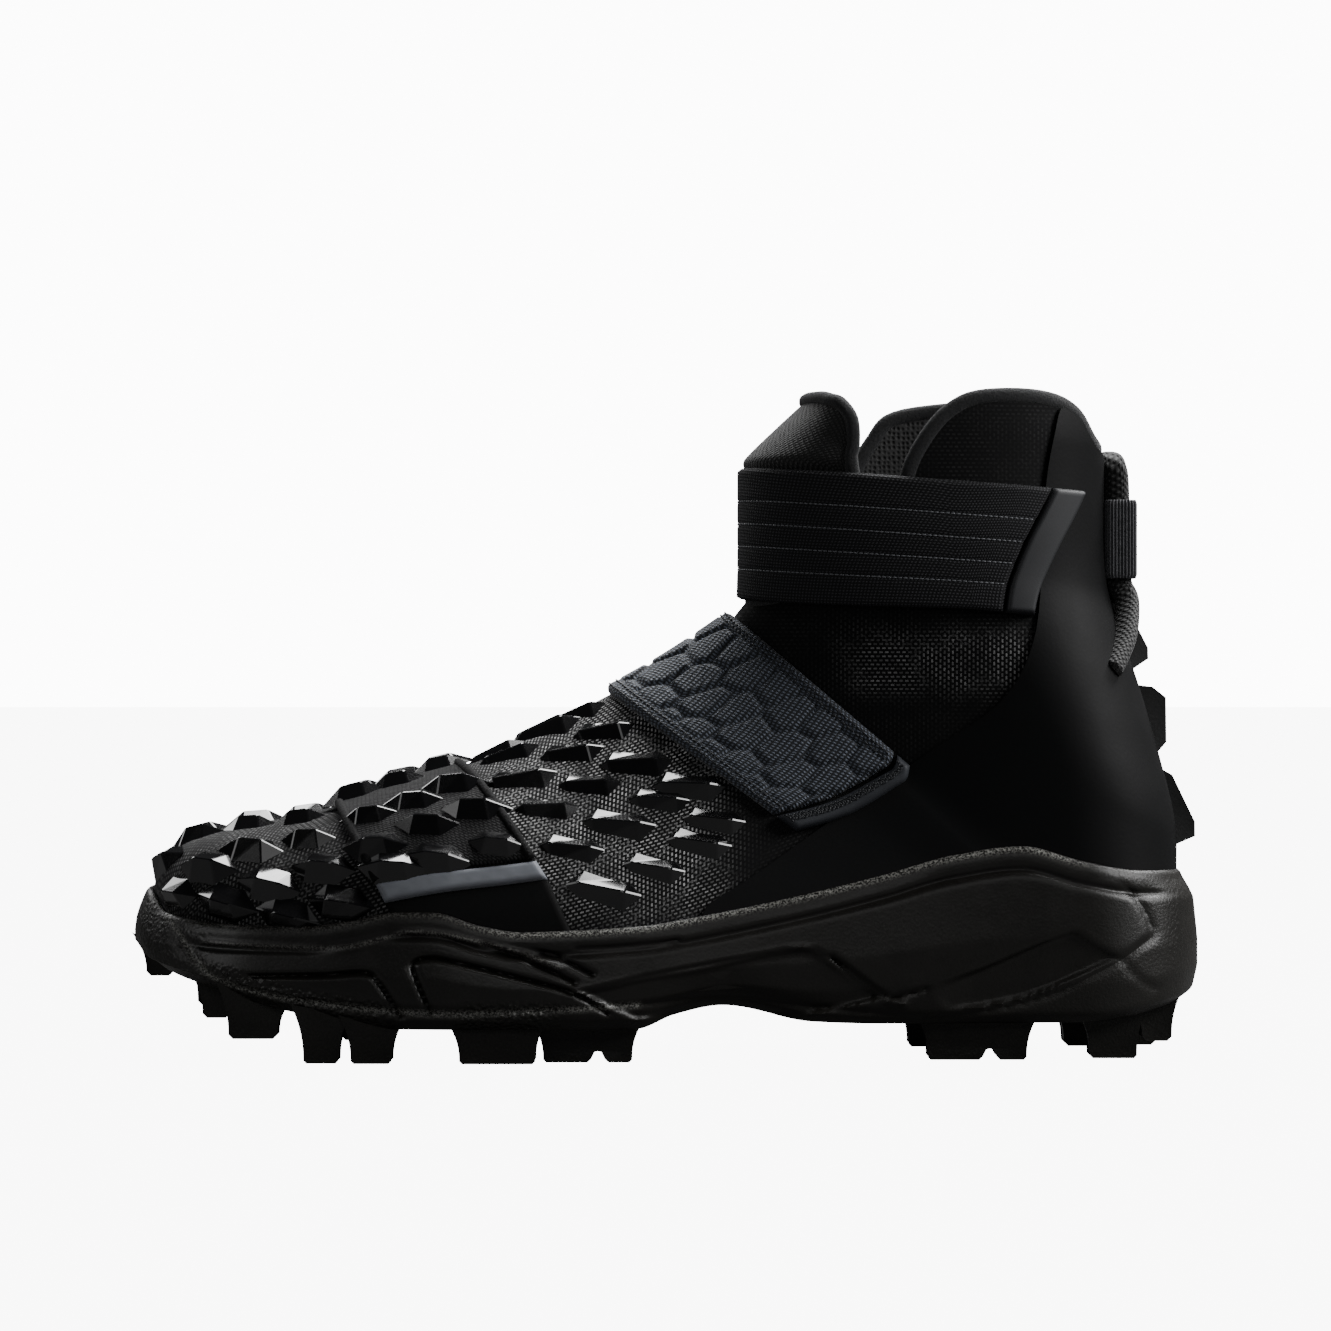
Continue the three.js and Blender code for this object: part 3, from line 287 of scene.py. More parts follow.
# %% Points, normals and offsets of the skin
def skin(place, turn):
    """The point of the form at a place along it and a turn round it, 0 at the floor and 0.5 on top."""
    place, turn = np.broadcast_arrays(np.asarray(place, float), np.asarray(turn, float))
    row = {name: value(place) for name, value in CURVES.items()}
    rise, side = -np.cos(2 * np.pi * turn), np.sin(2 * np.pi * turn)
    power = np.where(rise > 0, row["crown"], row["floor"])
    lift = np.abs(rise) ** (2 / power)
    h = np.where(rise > 0, row["belly"] + (1 - row["belly"]) * lift, row["belly"] * (1 - lift))
    half = np.where(side > 0, -row["lateral"], row["medial"])
    y = row["centre"] + half * np.abs(side) ** (2 / power)
    x = row["baseX"] + (row["topX"] - row["baseX"]) * h
    z = row["baseZ"] + (row["topZ"] - row["baseZ"]) * h
    return np.stack([x, y, z], -1)


FIRST_HEART = 1.5


def heart(place):
    """The middle of a section. The first sections share one, because they are too small to hold it."""
    row = {name: value(np.maximum(place, FIRST_HEART)) for name, value in CURVES.items()}
    x = row["baseX"] + (row["topX"] - row["baseX"]) * row["belly"]
    z = row["baseZ"] + (row["topZ"] - row["baseZ"]) * row["belly"]
    return np.stack([x, row["centre"], z], -1)


def unit(v):
    return v / np.maximum(np.linalg.norm(v, axis=-1, keepdims=True), 1e-9)


def facing(place, turn):
    """The outward normal of the skin."""
    place, turn = np.broadcast_arrays(np.asarray(place, float), np.asarray(turn, float))
    ahead = skin(np.minimum(place + 0.04, LAST), turn) - skin(np.maximum(place - 0.04, 0), turn)
    around = skin(place, turn + 0.003) - skin(place, turn - 0.003)
    normal = unit(np.cross(ahead, around))
    outward = skin(place, turn) - heart(place)
    return normal * np.where((normal * outward).sum(-1, keepdims=True) < 0, -1, 1)


def over(place, turn, offset):
    """A point at a distance above the skin."""
    return skin(place, turn) + facing(place, turn) * np.asarray(offset, float)[..., None]


def walk(place, turn, distance, steps=10):
    """The place reached by walking a distance along the skin at one turn."""
    place = np.asarray(place, float) + 0 * np.asarray(turn, float)
    for _ in range(steps):
        stride = np.linalg.norm(skin(place + 0.05, turn) - skin(place - 0.05, turn), axis=-1) / 0.1
        place = place + distance / steps / stride
    return place


def inside(x, y, z):
    """Whether points lie inside the foot form."""
    x, y, z = np.broadcast_arrays(x, y, z)
    low, high = np.zeros(x.shape), np.full(x.shape, float(LAST))

    def lean(place):
        bx, bz, tx, tz = (CURVES[name](place) for name in ("baseX", "baseZ", "topX", "topZ"))
        return (tx - bx) * (z - bz) - (tz - bz) * (x - bx)

    front = np.sign(lean(low))
    held = front != np.sign(lean(high))
    for _ in range(20):
        middle = (low + high) / 2
        same = np.sign(lean(middle)) == front
        low, high = np.where(same, middle, low), np.where(same, high, middle)
    row = {name: value(low) for name, value in CURVES.items()}
    dx, dz = row["topX"] - row["baseX"], row["topZ"] - row["baseZ"]
    h = ((x - row["baseX"]) * dx + (z - row["baseZ"]) * dz) / (dx * dx + dz * dz)
    belly, above = row["belly"], h > row["belly"]
    climb = np.clip(np.where(above, (h - belly) / (1 - belly), (belly - h) / belly), 0, 1)
    power = np.where(above, row["crown"], row["floor"])
    full = (1 - climb**power) ** (1 / power)
    off = y - row["centre"]
    within = np.where(off < 0, -off < row["lateral"] * full, off < row["medial"] * full)
    return held & (h > 0) & (h < 1) & within, low, h


def from_side(x, z, outer=True):
    """The place and turn of the skin point that shows at x, z from one side."""
    x, z = np.asarray(x, float), np.asarray(z, float)
    _, place, h = inside(x, 0 * x, z)
    belly, crown, base = (CURVES[name](place) for name in ("belly", "crown", "floor"))
    high = h > belly
    lift = np.clip(np.where(high, (h - belly) / (1 - belly), 1 - h / belly), 0, 1)
    rise = lift ** (np.where(high, crown, base) / 2)
    turn = np.arccos(np.where(high, -rise, rise)) / (2 * np.pi)
    return place, (turn if outer else 1 - turn)


probe = over(8.6, 0.4, 0)
print("a point of the skin", probe.round(1), "in x, y, z")

# %% [markdown]
# ## Surfaces cut like cloth
# Each panel starts as a fine net over the form, with a row and a column number for every knot. Panels are
# trimmed along their drawn outline, as cloth is cut along a pattern: faces on the line are clipped exactly
# there. The net's own run along and round the form, in metres, becomes the UV map, so that knit and
# webbing can follow the surface.

# %% Nets, trimming and meshes
def net(places, turns, offset=0.0, wrapped=False):
    """Rows of x, y, z, u, v over the skin, and the faces between them."""
    grid_place, grid_turn = np.meshgrid(places, turns, indexing="ij")
    points = over(grid_place, grid_turn, np.broadcast_to(offset, grid_place.shape))
    return net_of(points, grid_turn, wrapped)


def net_of(points, grid_turn, wrapped=False):
    """The same from ready points: u runs ahead along the top, v runs round from it."""
    rows, columns = points.shape[:2]
    around = np.linalg.norm(np.diff(points, axis=1), axis=-1).cumsum(axis=1)
    around = np.concatenate([np.zeros((rows, 1)), around], axis=1)
    top = np.abs(grid_turn[0] - 0.5).argmin()
    around = around - around[:, top : top + 1]
    ahead = np.linalg.norm(np.diff(points[:, top], axis=0), axis=-1).cumsum()
    ahead = np.broadcast_to(np.concatenate([[0], ahead])[:, None], (rows, columns))
    data = np.concatenate([points, ahead[..., None], around[..., None]], axis=-1).reshape(-1, 5)
    index = np.arange(rows * columns).reshape(rows, columns)
    if wrapped:
        index = np.concatenate([index, index[:, :1]], axis=1)
    faces = np.stack([index[:-1, :-1], index[:-1, 1:], index[1:, 1:], index[1:, :-1]], -1).reshape(-1, 4)
    return data, faces.tolist()


def trim(data, faces, value):
    """Keeps the side where value is above zero, clipping the faces that cross it."""
    rows = np.asarray(data, float)
    value = list(map(float, value))
    cuts, kept, added = {}, [], []

    def crossing(a, b):
        key = (min(a, b), max(a, b))
        if key not in cuts:
            share = value[a] / (value[a] - value[b])
            cuts[key] = len(rows) + len(cuts)
            added.append(rows[a] + (rows[b] - rows[a]) * share)
        return cuts[key]

    for face in faces:
        signs = [value[i] > 0 for i in face]
        if all(signs):
            kept.append(face)
        elif any(signs):
            fresh = []
            for i, a in enumerate(face):
                b = face[(i + 1) % len(face)]
                if value[a] > 0:
                    fresh.append(a)
                if (value[a] > 0) != (value[b] > 0):
                    fresh.append(crossing(a, b))
            if len(fresh) > 2:
                kept.append(fresh)
    return (np.vstack([rows, added]) if added else rows), kept


def from_segment(start, end, x, z):
    """Distance from a straight piece of line."""
    (ax, az), (bx, bz) = start, end
    dx, dz = bx - ax, bz - az
    t = np.clip(((x - ax) * dx + (z - az) * dz) / max(dx * dx + dz * dz, 1e-9), 0, 1)
    return np.hypot(x - ax - t * dx, z - az - t * dz)


def beside(outline, x, z):
    """Distance from a closed side outline, above zero inside it."""
    outline = np.asarray(outline, float)
    ends = np.roll(outline, -1, axis=0)
    x, z = np.asarray(x, float), np.asarray(z, float)
    nearest = np.full(x.shape, 1e9)
    odd = np.zeros(x.shape, bool)
    for (ax, az), (bx, bz) in zip(outline, ends):
        nearest = np.minimum(nearest, from_segment((ax, az), (bx, bz), x, z))
        if az != bz:
            odd ^= ((az > z) != (bz > z)) & (x < ax + (z - az) * (bx - ax) / (bz - az))
    return np.where(odd, nearest, -nearest)


def near(line, x, z):
    """Distance from an open line."""
    line = np.asarray(line, float)
    nearest = np.full(np.shape(x), 1e9)
    for start, end in zip(line[:-1], line[1:]):
        nearest = np.minimum(nearest, from_segment(start, end, x, z))
    return nearest


def smooth_line(points, count):
    """A smooth open line through points, by running them through a spline."""
    points = np.asarray(points, float)
    padded = np.vstack([2 * points[0] - points[1], points, 2 * points[-1] - points[-2]])
    spots = np.linspace(0, len(points) - 1, count)
    i = np.minimum(spots.astype(int), len(points) - 2)
    t = (spots - i)[:, None]
    a, b, c, d = (padded[i + k] for k in range(4))
    return 0.5 * (2 * b + (c - a) * t + (2 * a - 5 * b + 4 * c - d) * t**2 + (3 * b - a - 3 * c + d) * t**3)


def sideways(rows):
    """Shares of length and height as x and z."""
    rows = np.asarray(rows, float)
    return np.column_stack([along(rows[:, 0]), up(rows[:, 1])])


def make(name, data, faces, *finishes, marks=()):
    """A mesh object from rows of x, y, z, u, v in millimetres, then one value for each named mark."""
    used = sorted({i for face in faces for i in face})
    renumber = {old: new for new, old in enumerate(used)}
    data = np.asarray(data)[used]
    mesh = bpy.data.meshes.new(name)
    spots = ((data[:, :3] + SHIFT) * MM).tolist()
    mesh.from_pydata(spots, [], [[renumber[i] for i in face] for face in faces])
    if data.shape[1] >= 5:
        layer = mesh.uv_layers.new(name="run")
        corner = np.empty(len(mesh.loops), dtype=np.int32)
        mesh.loops.foreach_get("vertex_index", corner)
        layer.data.foreach_set("uv", (data[corner, 3:5] * MM).astype(np.float32).ravel())
    for i, mark in enumerate(marks):
        values = data[:, 5 + i].astype(np.float32)
        mesh.attributes.new(mark, "FLOAT", "POINT").data.foreach_set("value", values)
    for one in finishes:
        mesh.materials.append(one)
    mesh.polygons.foreach_set("use_smooth", [True] * len(mesh.polygons))
    mesh.update()
    made = bpy.data.objects.new(name, mesh)
    bpy.context.scene.collection.objects.link(made)
    return made


def settle(made):
    """Turns a piece with its modifiers into a plain mesh."""
    graph = bpy.context.evaluated_depsgraph_get()
    plain = bpy.data.meshes.new_from_object(made.evaluated_get(graph), depsgraph=graph)
    made.modifiers.clear()
    old = made.data
    made.data = plain
    plain.name = old.name
    bpy.data.meshes.remove(old)
    return made


def thicken(made, thickness, outward=False, inner_slot=0, rim_slot=0):
    """Gives a cut panel its thickness."""
    wall = made.modifiers.new("thickness", "SOLIDIFY")
    wall.thickness = thickness * MM
    wall.offset = 1 if outward else -1
    wall.material_offset = inner_slot
    wall.material_offset_rim = rim_slot
    settle(made).data.set_sharp_from_angle(angle=math.radians(50))
    return made


def outward(made, toward):
    """Turns a panel over if its first faces look the wrong way."""
    mesh = made.data
    total = 0.0
    for polygon in list(mesh.polygons)[:: max(len(mesh.polygons) // 200, 1)]:
        total += (polygon.center - toward(polygon.center)).dot(polygon.normal)
    if total < 0:
        mesh.flip_normals()
    return made


# %% Closed sheets, tubes and lofts
def shut(data, faces):
    """Turns every face of a closed shape outwards, by the sign of its volume."""
    points = np.asarray(data)[:, :3]
    volume = 0.0
    for face in faces:
        a = points[face[0]]
        for b, c in zip(face[1:-1], face[2:]):
            volume += float(np.dot(a, np.cross(points[b], points[c])))
    return [face[::-1] for face in faces] if volume < 0 else faces


def sheet(outer, inner, turns):
    """A closed sheet between an outer and an inner net of points."""
    top, top_faces = net_of(outer, turns)
    low, low_faces = net_of(inner, turns)
    rows, columns = outer.shape[:2]
    index = np.arange(rows * columns).reshape(rows, columns)
    edge = [*index[0, :-1], *index[:-1, -1], *index[-1, :0:-1], *index[:0:-1, 0]]
    count = rows * columns
    faces = [list(face) for face in top_faces] + [[i + count for i in face[::-1]] for face in low_faces]
    for a, b in zip(edge, edge[1:] + edge[:1]):
        faces.append([int(b), int(a), int(a) + count, int(b) + count])
    low[:, 3:5] = top[:, 3:5]
    return np.vstack([top, low]), shut(np.vstack([top, low]), faces)


def sweep(path, across, thick, sides=12, hint=(0, 0, 1), power=2.0, flutes=0, depth=0.0):
    """A tube of oval section along a path; across and thick are its half sizes.

    Hint is the way its top looks. Flutes are ribs along it, as deep as a share of the section.
    """
    path = np.asarray(path, float)
    tangent = unit(np.gradient(path, axis=0))
    hint = np.broadcast_to(np.asarray(hint, float), path.shape)
    wide = unit(np.cross(tangent, hint))
    high = unit(np.cross(wide, tangent))

    def oval(angle):
        cos, sin = np.cos(angle), np.sin(angle)
        return np.sign(cos) * np.abs(cos) ** (2 / power), np.sign(sin) * np.abs(sin) ** (2 / power)

    angle = np.linspace(0, 2 * np.pi, sides, endpoint=False)
    fluted = 1
    if flutes:
        fine = np.linspace(0, 2 * np.pi, 4001)
        cos, sin = oval(fine)
        strides = np.hypot(np.diff(cos) * np.max(across), np.diff(sin) * np.max(thick))
        walked = np.concatenate([[0], strides.cumsum()])
        fluted = 1 - depth * (0.5 + 0.5 * np.cos(flutes * angle))
        angle = np.interp(angle / (2 * np.pi) * walked[-1], walked, fine)
    cos, sin = oval(angle)
    cos, sin = cos * fluted, sin * fluted
    across = np.broadcast_to(across, len(path))[:, None, None]
    thick = np.broadcast_to(thick, len(path))[:, None, None]
    points = path[:, None] + wide[:, None] * cos[:, None] * across + high[:, None] * sin[:, None] * thick
    run = np.concatenate([[0], np.linalg.norm(np.diff(path, axis=0), axis=1).cumsum()])
    girth = angle * float(np.mean(across + thick)) / 2
    one_each = (*points.shape[:2], 1)
    ahead = np.broadcast_to(run[:, None, None], one_each)
    around = np.broadcast_to(girth[:, None], one_each)
    data = np.concatenate([points, ahead, around], -1).reshape(-1, 5)
    index = np.arange(len(path) * sides).reshape(len(path), sides)
    first, following = index[:-1], index[1:]
    quads = np.stack([first, np.roll(first, -1, 1), np.roll(following, -1, 1), following], -1)
    faces = quads.reshape(-1, 4).tolist() + [index[0].tolist()[::-1], index[-1].tolist()]
    return data, shut(data, faces)


def soft(x):
    """0 below 0, 1 above 1, and a soft step between."""
    x = np.clip(x, 0, 1)
    return x * x * (3 - 2 * x)


def join_rows(parts):
    """Several shapes as one."""
    data, faces, start = [], [], 0
    for rows, polygons in parts:
        data.append(np.asarray(rows))
        faces += [[int(i) + start for i in face] for face in polygons]
        start += len(rows)
    return np.vstack(data), faces


def slab(outline, halves, middle=0.0):
    """A closed piece between a side outline and its twin across the shoe."""
    count = len(outline)
    near_side = np.column_stack([outline[:, 0], middle - halves, outline[:, 1]])
    far_side = np.column_stack([outline[:, 0], middle + halves, outline[:, 1]])
    polygons = [list(range(count)), list(range(2 * count - 1, count - 1, -1))]
    polygons += [[i, (i + 1) % count, (i + 1) % count + count, i + count] for i in range(count)]
    rows = np.vstack([near_side, far_side])
    return rows, shut(rows, polygons)


def rounded(made, width, segments, **limits):
    """Rounds the edges of a piece and keeps the mesh."""
    rounding = made.modifiers.new("rounding", "BEVEL")
    rounding.width = width * MM
    rounding.segments = segments
    for title, value in limits.items():
        setattr(rounding, title, value)
    return settle(made)


print("ready to cut, sweep and round")


# %% [markdown]
# ## Finishes
# Nearly everything on this shoe is black, so the finishes differ in how they take the light. The facets
# are moulded thermoplastic and mirror the lamps. The quarter is the same plastic as a thin satin film. The
# sole is moulded rubber with a fine grain, and a painted highlight lies on its edges. The knit is polyester
# with clear yarn, whose glints are painted as pale dashes, and the straps are ribbed webbing. Patterns are
# sized in millimetres on the UV map, which runs along the piece and round it.

# %% Pattern coordinates in millimetres
TO_MM = (1000, 1000, 1000)


def run_in_mm(tree, rotate=0.0):
    """The piece's own UV map, in millimetres."""
    uv = node(tree, "ShaderNodeUVMap", uv_map="run")
    turned = {"Vector": uv.outputs[0], "Rotation": (0, 0, rotate), "Scale": TO_MM}
    return node(tree, "ShaderNodeMapping", turned).outputs[0]


def place_in_mm(tree):
    """Object coordinates in millimetres."""
    spot = node(tree, "ShaderNodeTexCoord")
    return node(tree, "ShaderNodeMapping", {"Vector": spot.outputs["Object"], "Scale": TO_MM}).outputs[0]


print("patterns read millimetres along the piece or in space")

# %% Knitted polyester of the forefoot: where its dashes lie
KNIT_RUN = 1.6
KNIT_ROW = 1.15
KNIT_GAP = 0.39
# Polyester filament is matte black here, with a clear yarn laid in, whose glints are painted as short pale
# dashes in the base colour. The real loops are half as large; these are drawn as coarse as they need to be
# to show.
knit, tree, shader = finish("knitted polyester with clear yarn")
mm = run_in_mm(tree)
dashes = {}
for title, turned in (("level", 0.0), ("upright", math.pi / 2)):
    way = node(tree, "ShaderNodeMapping", {"Vector": mm, "Rotation": (0, 0, turned)})
    dashes[title] = node(
        tree, "ShaderNodeTexBrick",
        {"Vector": way.outputs[0], "Scale": 1.0, "Brick Width": KNIT_RUN, "Row Height": KNIT_ROW,
         "Mortar Size": KNIT_GAP, "Mortar Smooth": 0.35, "Color1": (1, 1, 1, 1),
         "Color2": (0.35, 0.35, 0.35, 1), "Mortar": (0, 0, 0, 1)},
        offset=0.5,
    )
either = node(tree, "ShaderNodeTexNoise", {"Vector": mm, "Scale": 0.05, "Detail": 1.0})
which = node(
    tree, "ShaderNodeMapRange", {"Value": either.outputs[0], "From Min": 0.42, "From Max": 0.58}
)
bricks = node(
    tree, "ShaderNodeMix",
    {"Factor": which.outputs[0], DARK: dashes["level"].outputs[0], LIGHT: dashes["upright"].outputs[0]},
    data_type="RGBA",
)
print("a dash of yarn is", KNIT_RUN, "by", KNIT_ROW, "mm")

# %% Knitted polyester of the forefoot: how much painted glint shows, and its shine
# The painted glint mask: where it is high, pale dashes are painted into the colour in place of light caught by the
# clear yarn
glint = node(tree, "ShaderNodeAttribute", attribute_name="glint")
patches = node(tree, "ShaderNodeTexNoise", {"Vector": mm, "Scale": 0.12, "Detail": 3.0})
patchy = node(
    tree, "ShaderNodeMapRange",
    {"Value": patches.outputs[0], "From Min": 0.35, "From Max": 0.62, "To Min": 0.45, "To Max": 1.0},
)
yarn = bricks.outputs[MIXED]
for share in (glint.outputs["Fac"], patchy.outputs[0]):
    yarn = node(tree, "ShaderNodeMath", {0: yarn, 1: share}, operation="MULTIPLY").outputs[0]
# Painted glint: the base colour is lifted from near black to pale grey where the dashes and the mask meet
colour = node(
    tree, "ShaderNodeMix", {"Factor": yarn, DARK: paint("#070708"), LIGHT: paint("#d4d4d4")}, data_type="RGBA"
)
tree.links.new(colour.outputs[MIXED], shader.inputs["Base Color"])
rough = node(tree, "ShaderNodeMapRange", {"Value": yarn, "To Min": 0.85, "To Max": 0.4})
tree.links.new(rough.outputs[0], shader.inputs["Roughness"])
raised = node(tree, "ShaderNodeMath", {0: yarn, 1: 0.7}, operation="POWER")
bump = node(
    tree, "ShaderNodeBump", {"Height": raised.outputs[0], "Distance": 0.35 * MM, "Strength": 0.9}
)
tree.links.new(bump.outputs[0], shader.inputs["Normal"])
shader.inputs["Specular IOR Level"].default_value = 0.25
print("knit nodes:", len(tree.nodes))

# %% Spacer mesh lining
MESH_HOLES = 0.7  # holes in a millimetre
# Spacer mesh is a matte net with small open cells, so the inside looks dull and dotted.
lining, tree, shader = finish("spacer mesh lining")
holes = node(
    tree, "ShaderNodeTexVoronoi",
    {"Vector": run_in_mm(tree), "Scale": MESH_HOLES, "Randomness": 0.35},
    feature="F1",
)
shade = node(
    tree, "ShaderNodeMapRange", {"Value": holes.outputs["Distance"], "From Min": 0.15, "From Max": 0.5}
)
colour = node(
    tree, "ShaderNodeMix",
    {"Factor": shade.outputs[0], DARK: paint("#0b0b0b"), LIGHT: paint("#333333")},
    data_type="RGBA",
)
tree.links.new(colour.outputs[MIXED], shader.inputs["Base Color"])
bump = node(tree, "ShaderNodeBump", {"Height": shade.outputs[0], "Distance": 0.3 * MM})
tree.links.new(bump.outputs[0], shader.inputs["Normal"])
shader.inputs["Roughness"].default_value = 0.85
shader.inputs["Sheen Weight"].default_value = 0.15
print("lining cells are", round(1 / MESH_HOLES, 1), "mm apart")


# %% Fibres too fine to draw
def set_surface(shader, **values):
    """Sets sockets of the shader. An underscore stands for a space in a socket's name."""
    for title, value in values.items():
        shader.inputs[title.replace("_", " ")].default_value = value


def mottled(name, dark, light, scale, detail=2.0, tangle=0.5, fuzz=0.0, runs=False, **surface):
    """Fibres that show as an uneven shade only, with a low fuzz in millimetres where it can be seen."""
    made, tree, shader = finish(name)
    spot = run_in_mm(tree) if runs else place_in_mm(tree)
    fibres = node(
        tree, "ShaderNodeTexNoise", {"Vector": spot, "Scale": scale, "Detail": detail, "Roughness": tangle}
    )
    colour = node(
        tree, "ShaderNodeMix",
        {"Factor": fibres.outputs[0], DARK: paint(dark), LIGHT: paint(light)},
        data_type="RGBA",
    )
    tree.links.new(colour.outputs[MIXED], shader.inputs["Base Color"])
    if fuzz:
        bump = node(tree, "ShaderNodeBump", {"Height": fibres.outputs[0], "Distance": fuzz * MM})
        tree.links.new(bump.outputs[0], shader.inputs["Normal"])
    set_surface(shader, **surface)
    return made


# Brushed nylon stands up in a short fuzz, which dulls it and gives its outline a soft edge.
binding = mottled(
    "brushed nylon binding tape", "#09090a", "#28292b", 1.6, 6.0, tangle=0.7, fuzz=0.5,
    Roughness=0.9, Sheen_Weight=0.12, Sheen_Roughness=0.5,
)
# Bonded nylon thread is waxed smooth, so each stitch is a small clean highlight.
thread = mottled("bonded nylon thread", "#3c3e42", "#85878b", 3.0, Roughness=0.45)
dark_thread = mottled("black bonded nylon thread", "#141517", "#33363b", 3.0, Roughness=0.5)


def pull_tape(name, dark, light):
    """Calendered tape: rolled flat and even, so it is a plain grey with faint streaks and a soft sheen."""
    return mottled(name, dark, light, 0.3, 5.0, runs=True, IOR=1.5, Roughness=0.62)


light_tape = pull_tape("calendered grey polyurethane tape", "#6a6d74", "#858991")
middle_tape = pull_tape("calendered mid grey polyurethane tape", "#2a2c31", "#3b3e44")
dark_tape = pull_tape("calendered dark grey polyurethane tape", "#18191c", "#232428")
print("binding, threads and tapes mixed")

# %% Moulded plastics: facets and film
# Moulded TPU comes out of a polished mould as smooth as glass: black, with hard bright reflections.
facet, tree, shader = finish("glossy moulded TPU")
set_surface(shader, Base_Color=paint("#111112"), IOR=1.5, Coat_Weight=0.6, Coat_Roughness=0.06)
haze = node(tree, "ShaderNodeTexNoise", {"Vector": place_in_mm(tree), "Scale": 0.25, "Detail": 4.0})
rough = node(tree, "ShaderNodeMapRange", {"Value": haze.outputs[0], "To Min": 0.08, "To Max": 0.22})
tree.links.new(rough.outputs[0], shader.inputs["Roughness"])

# TPU film is pressed on with heat against a satin plate, which leaves wide dim reflections.
film, tree, shader = finish("satin TPU film")
mm = place_in_mm(tree)
set_surface(shader, Base_Color=paint("#070708"), IOR=1.45, Specular_IOR_Level=0.2)
haze = node(tree, "ShaderNodeTexNoise", {"Vector": mm, "Scale": 0.08, "Detail": 5.0})
rough = node(tree, "ShaderNodeMapRange", {"Value": haze.outputs[0], "To Min": 0.5, "To Max": 0.66})
tree.links.new(rough.outputs[0], shader.inputs["Roughness"])
ripple = node(tree, "ShaderNodeTexNoise", {"Vector": mm, "Scale": 0.9, "Detail": 3.0})
bump = node(
    tree, "ShaderNodeBump", {"Height": ripple.outputs[0], "Distance": 0.06 * MM, "Strength": 0.5}
)
tree.links.new(bump.outputs[0], shader.inputs["Normal"])
print("facet and film mixed")


# %% Cloth of crossed yarns
def wave_scale(pitch):
    """A Wave texture's scale for bands this many millimetres apart."""
    return math.pi * 2 / 20 / pitch


def woven(name, dark, light, warp, weft, wander, detail, relief, rotate=0.0, **surface):
    """Crossed yarns at two spacings: light on top of each crossing, dark in the gaps between."""
    made, tree, shader = finish(name)
    mm = run_in_mm(tree, rotate=rotate)
    rib = node(
        tree, "ShaderNodeTexWave",
        {"Vector": mm, "Scale": wave_scale(warp), "Distortion": wander, "Detail": detail},
        bands_direction="X",
    )
    cross = node(tree, "ShaderNodeTexWave", {"Vector": mm, "Scale": wave_scale(weft)}, bands_direction="Y")
    yarns = node(
        tree, "ShaderNodeMath", {0: rib.outputs["Fac"], 1: cross.outputs["Fac"]}, operation="MULTIPLY"
    )
    colour = node(
        tree, "ShaderNodeMix",
        {"Factor": yarns.outputs[0], DARK: paint(dark), LIGHT: paint(light)},
        data_type="RGBA",
    )
    tree.links.new(colour.outputs[MIXED], shader.inputs["Base Color"])
    bump = node(tree, "ShaderNodeBump", {"Height": yarns.outputs[0], "Distance": relief * MM})
    tree.links.new(bump.outputs[0], shader.inputs["Normal"])
    set_surface(shader, **surface)
    return made


RIB_PITCH = 1.3
# Polyester webbing has a soft blue-grey sheen on the ribs, and its slant shows against the strap's edge.
ribbed = woven(
    "ribbed polyester webbing", "#101217", "#7d8696", RIB_PITCH, 0.8 * RIB_PITCH, 0.4, 1.0, 0.3,
    rotate=0.35, Roughness=0.7, Sheen_Weight=0.2,
)
# Covered elastic is a dense matte weave: nearly black, with only a fine grain.
elastic = woven(
    "woven elastic", "#171718", "#444447", 1.0, 0.9, 1.5, 2.0, 0.2, Roughness=0.8, Specular_IOR_Level=0.2
)
print("a rib of the webbing is", RIB_PITCH, "mm wide")


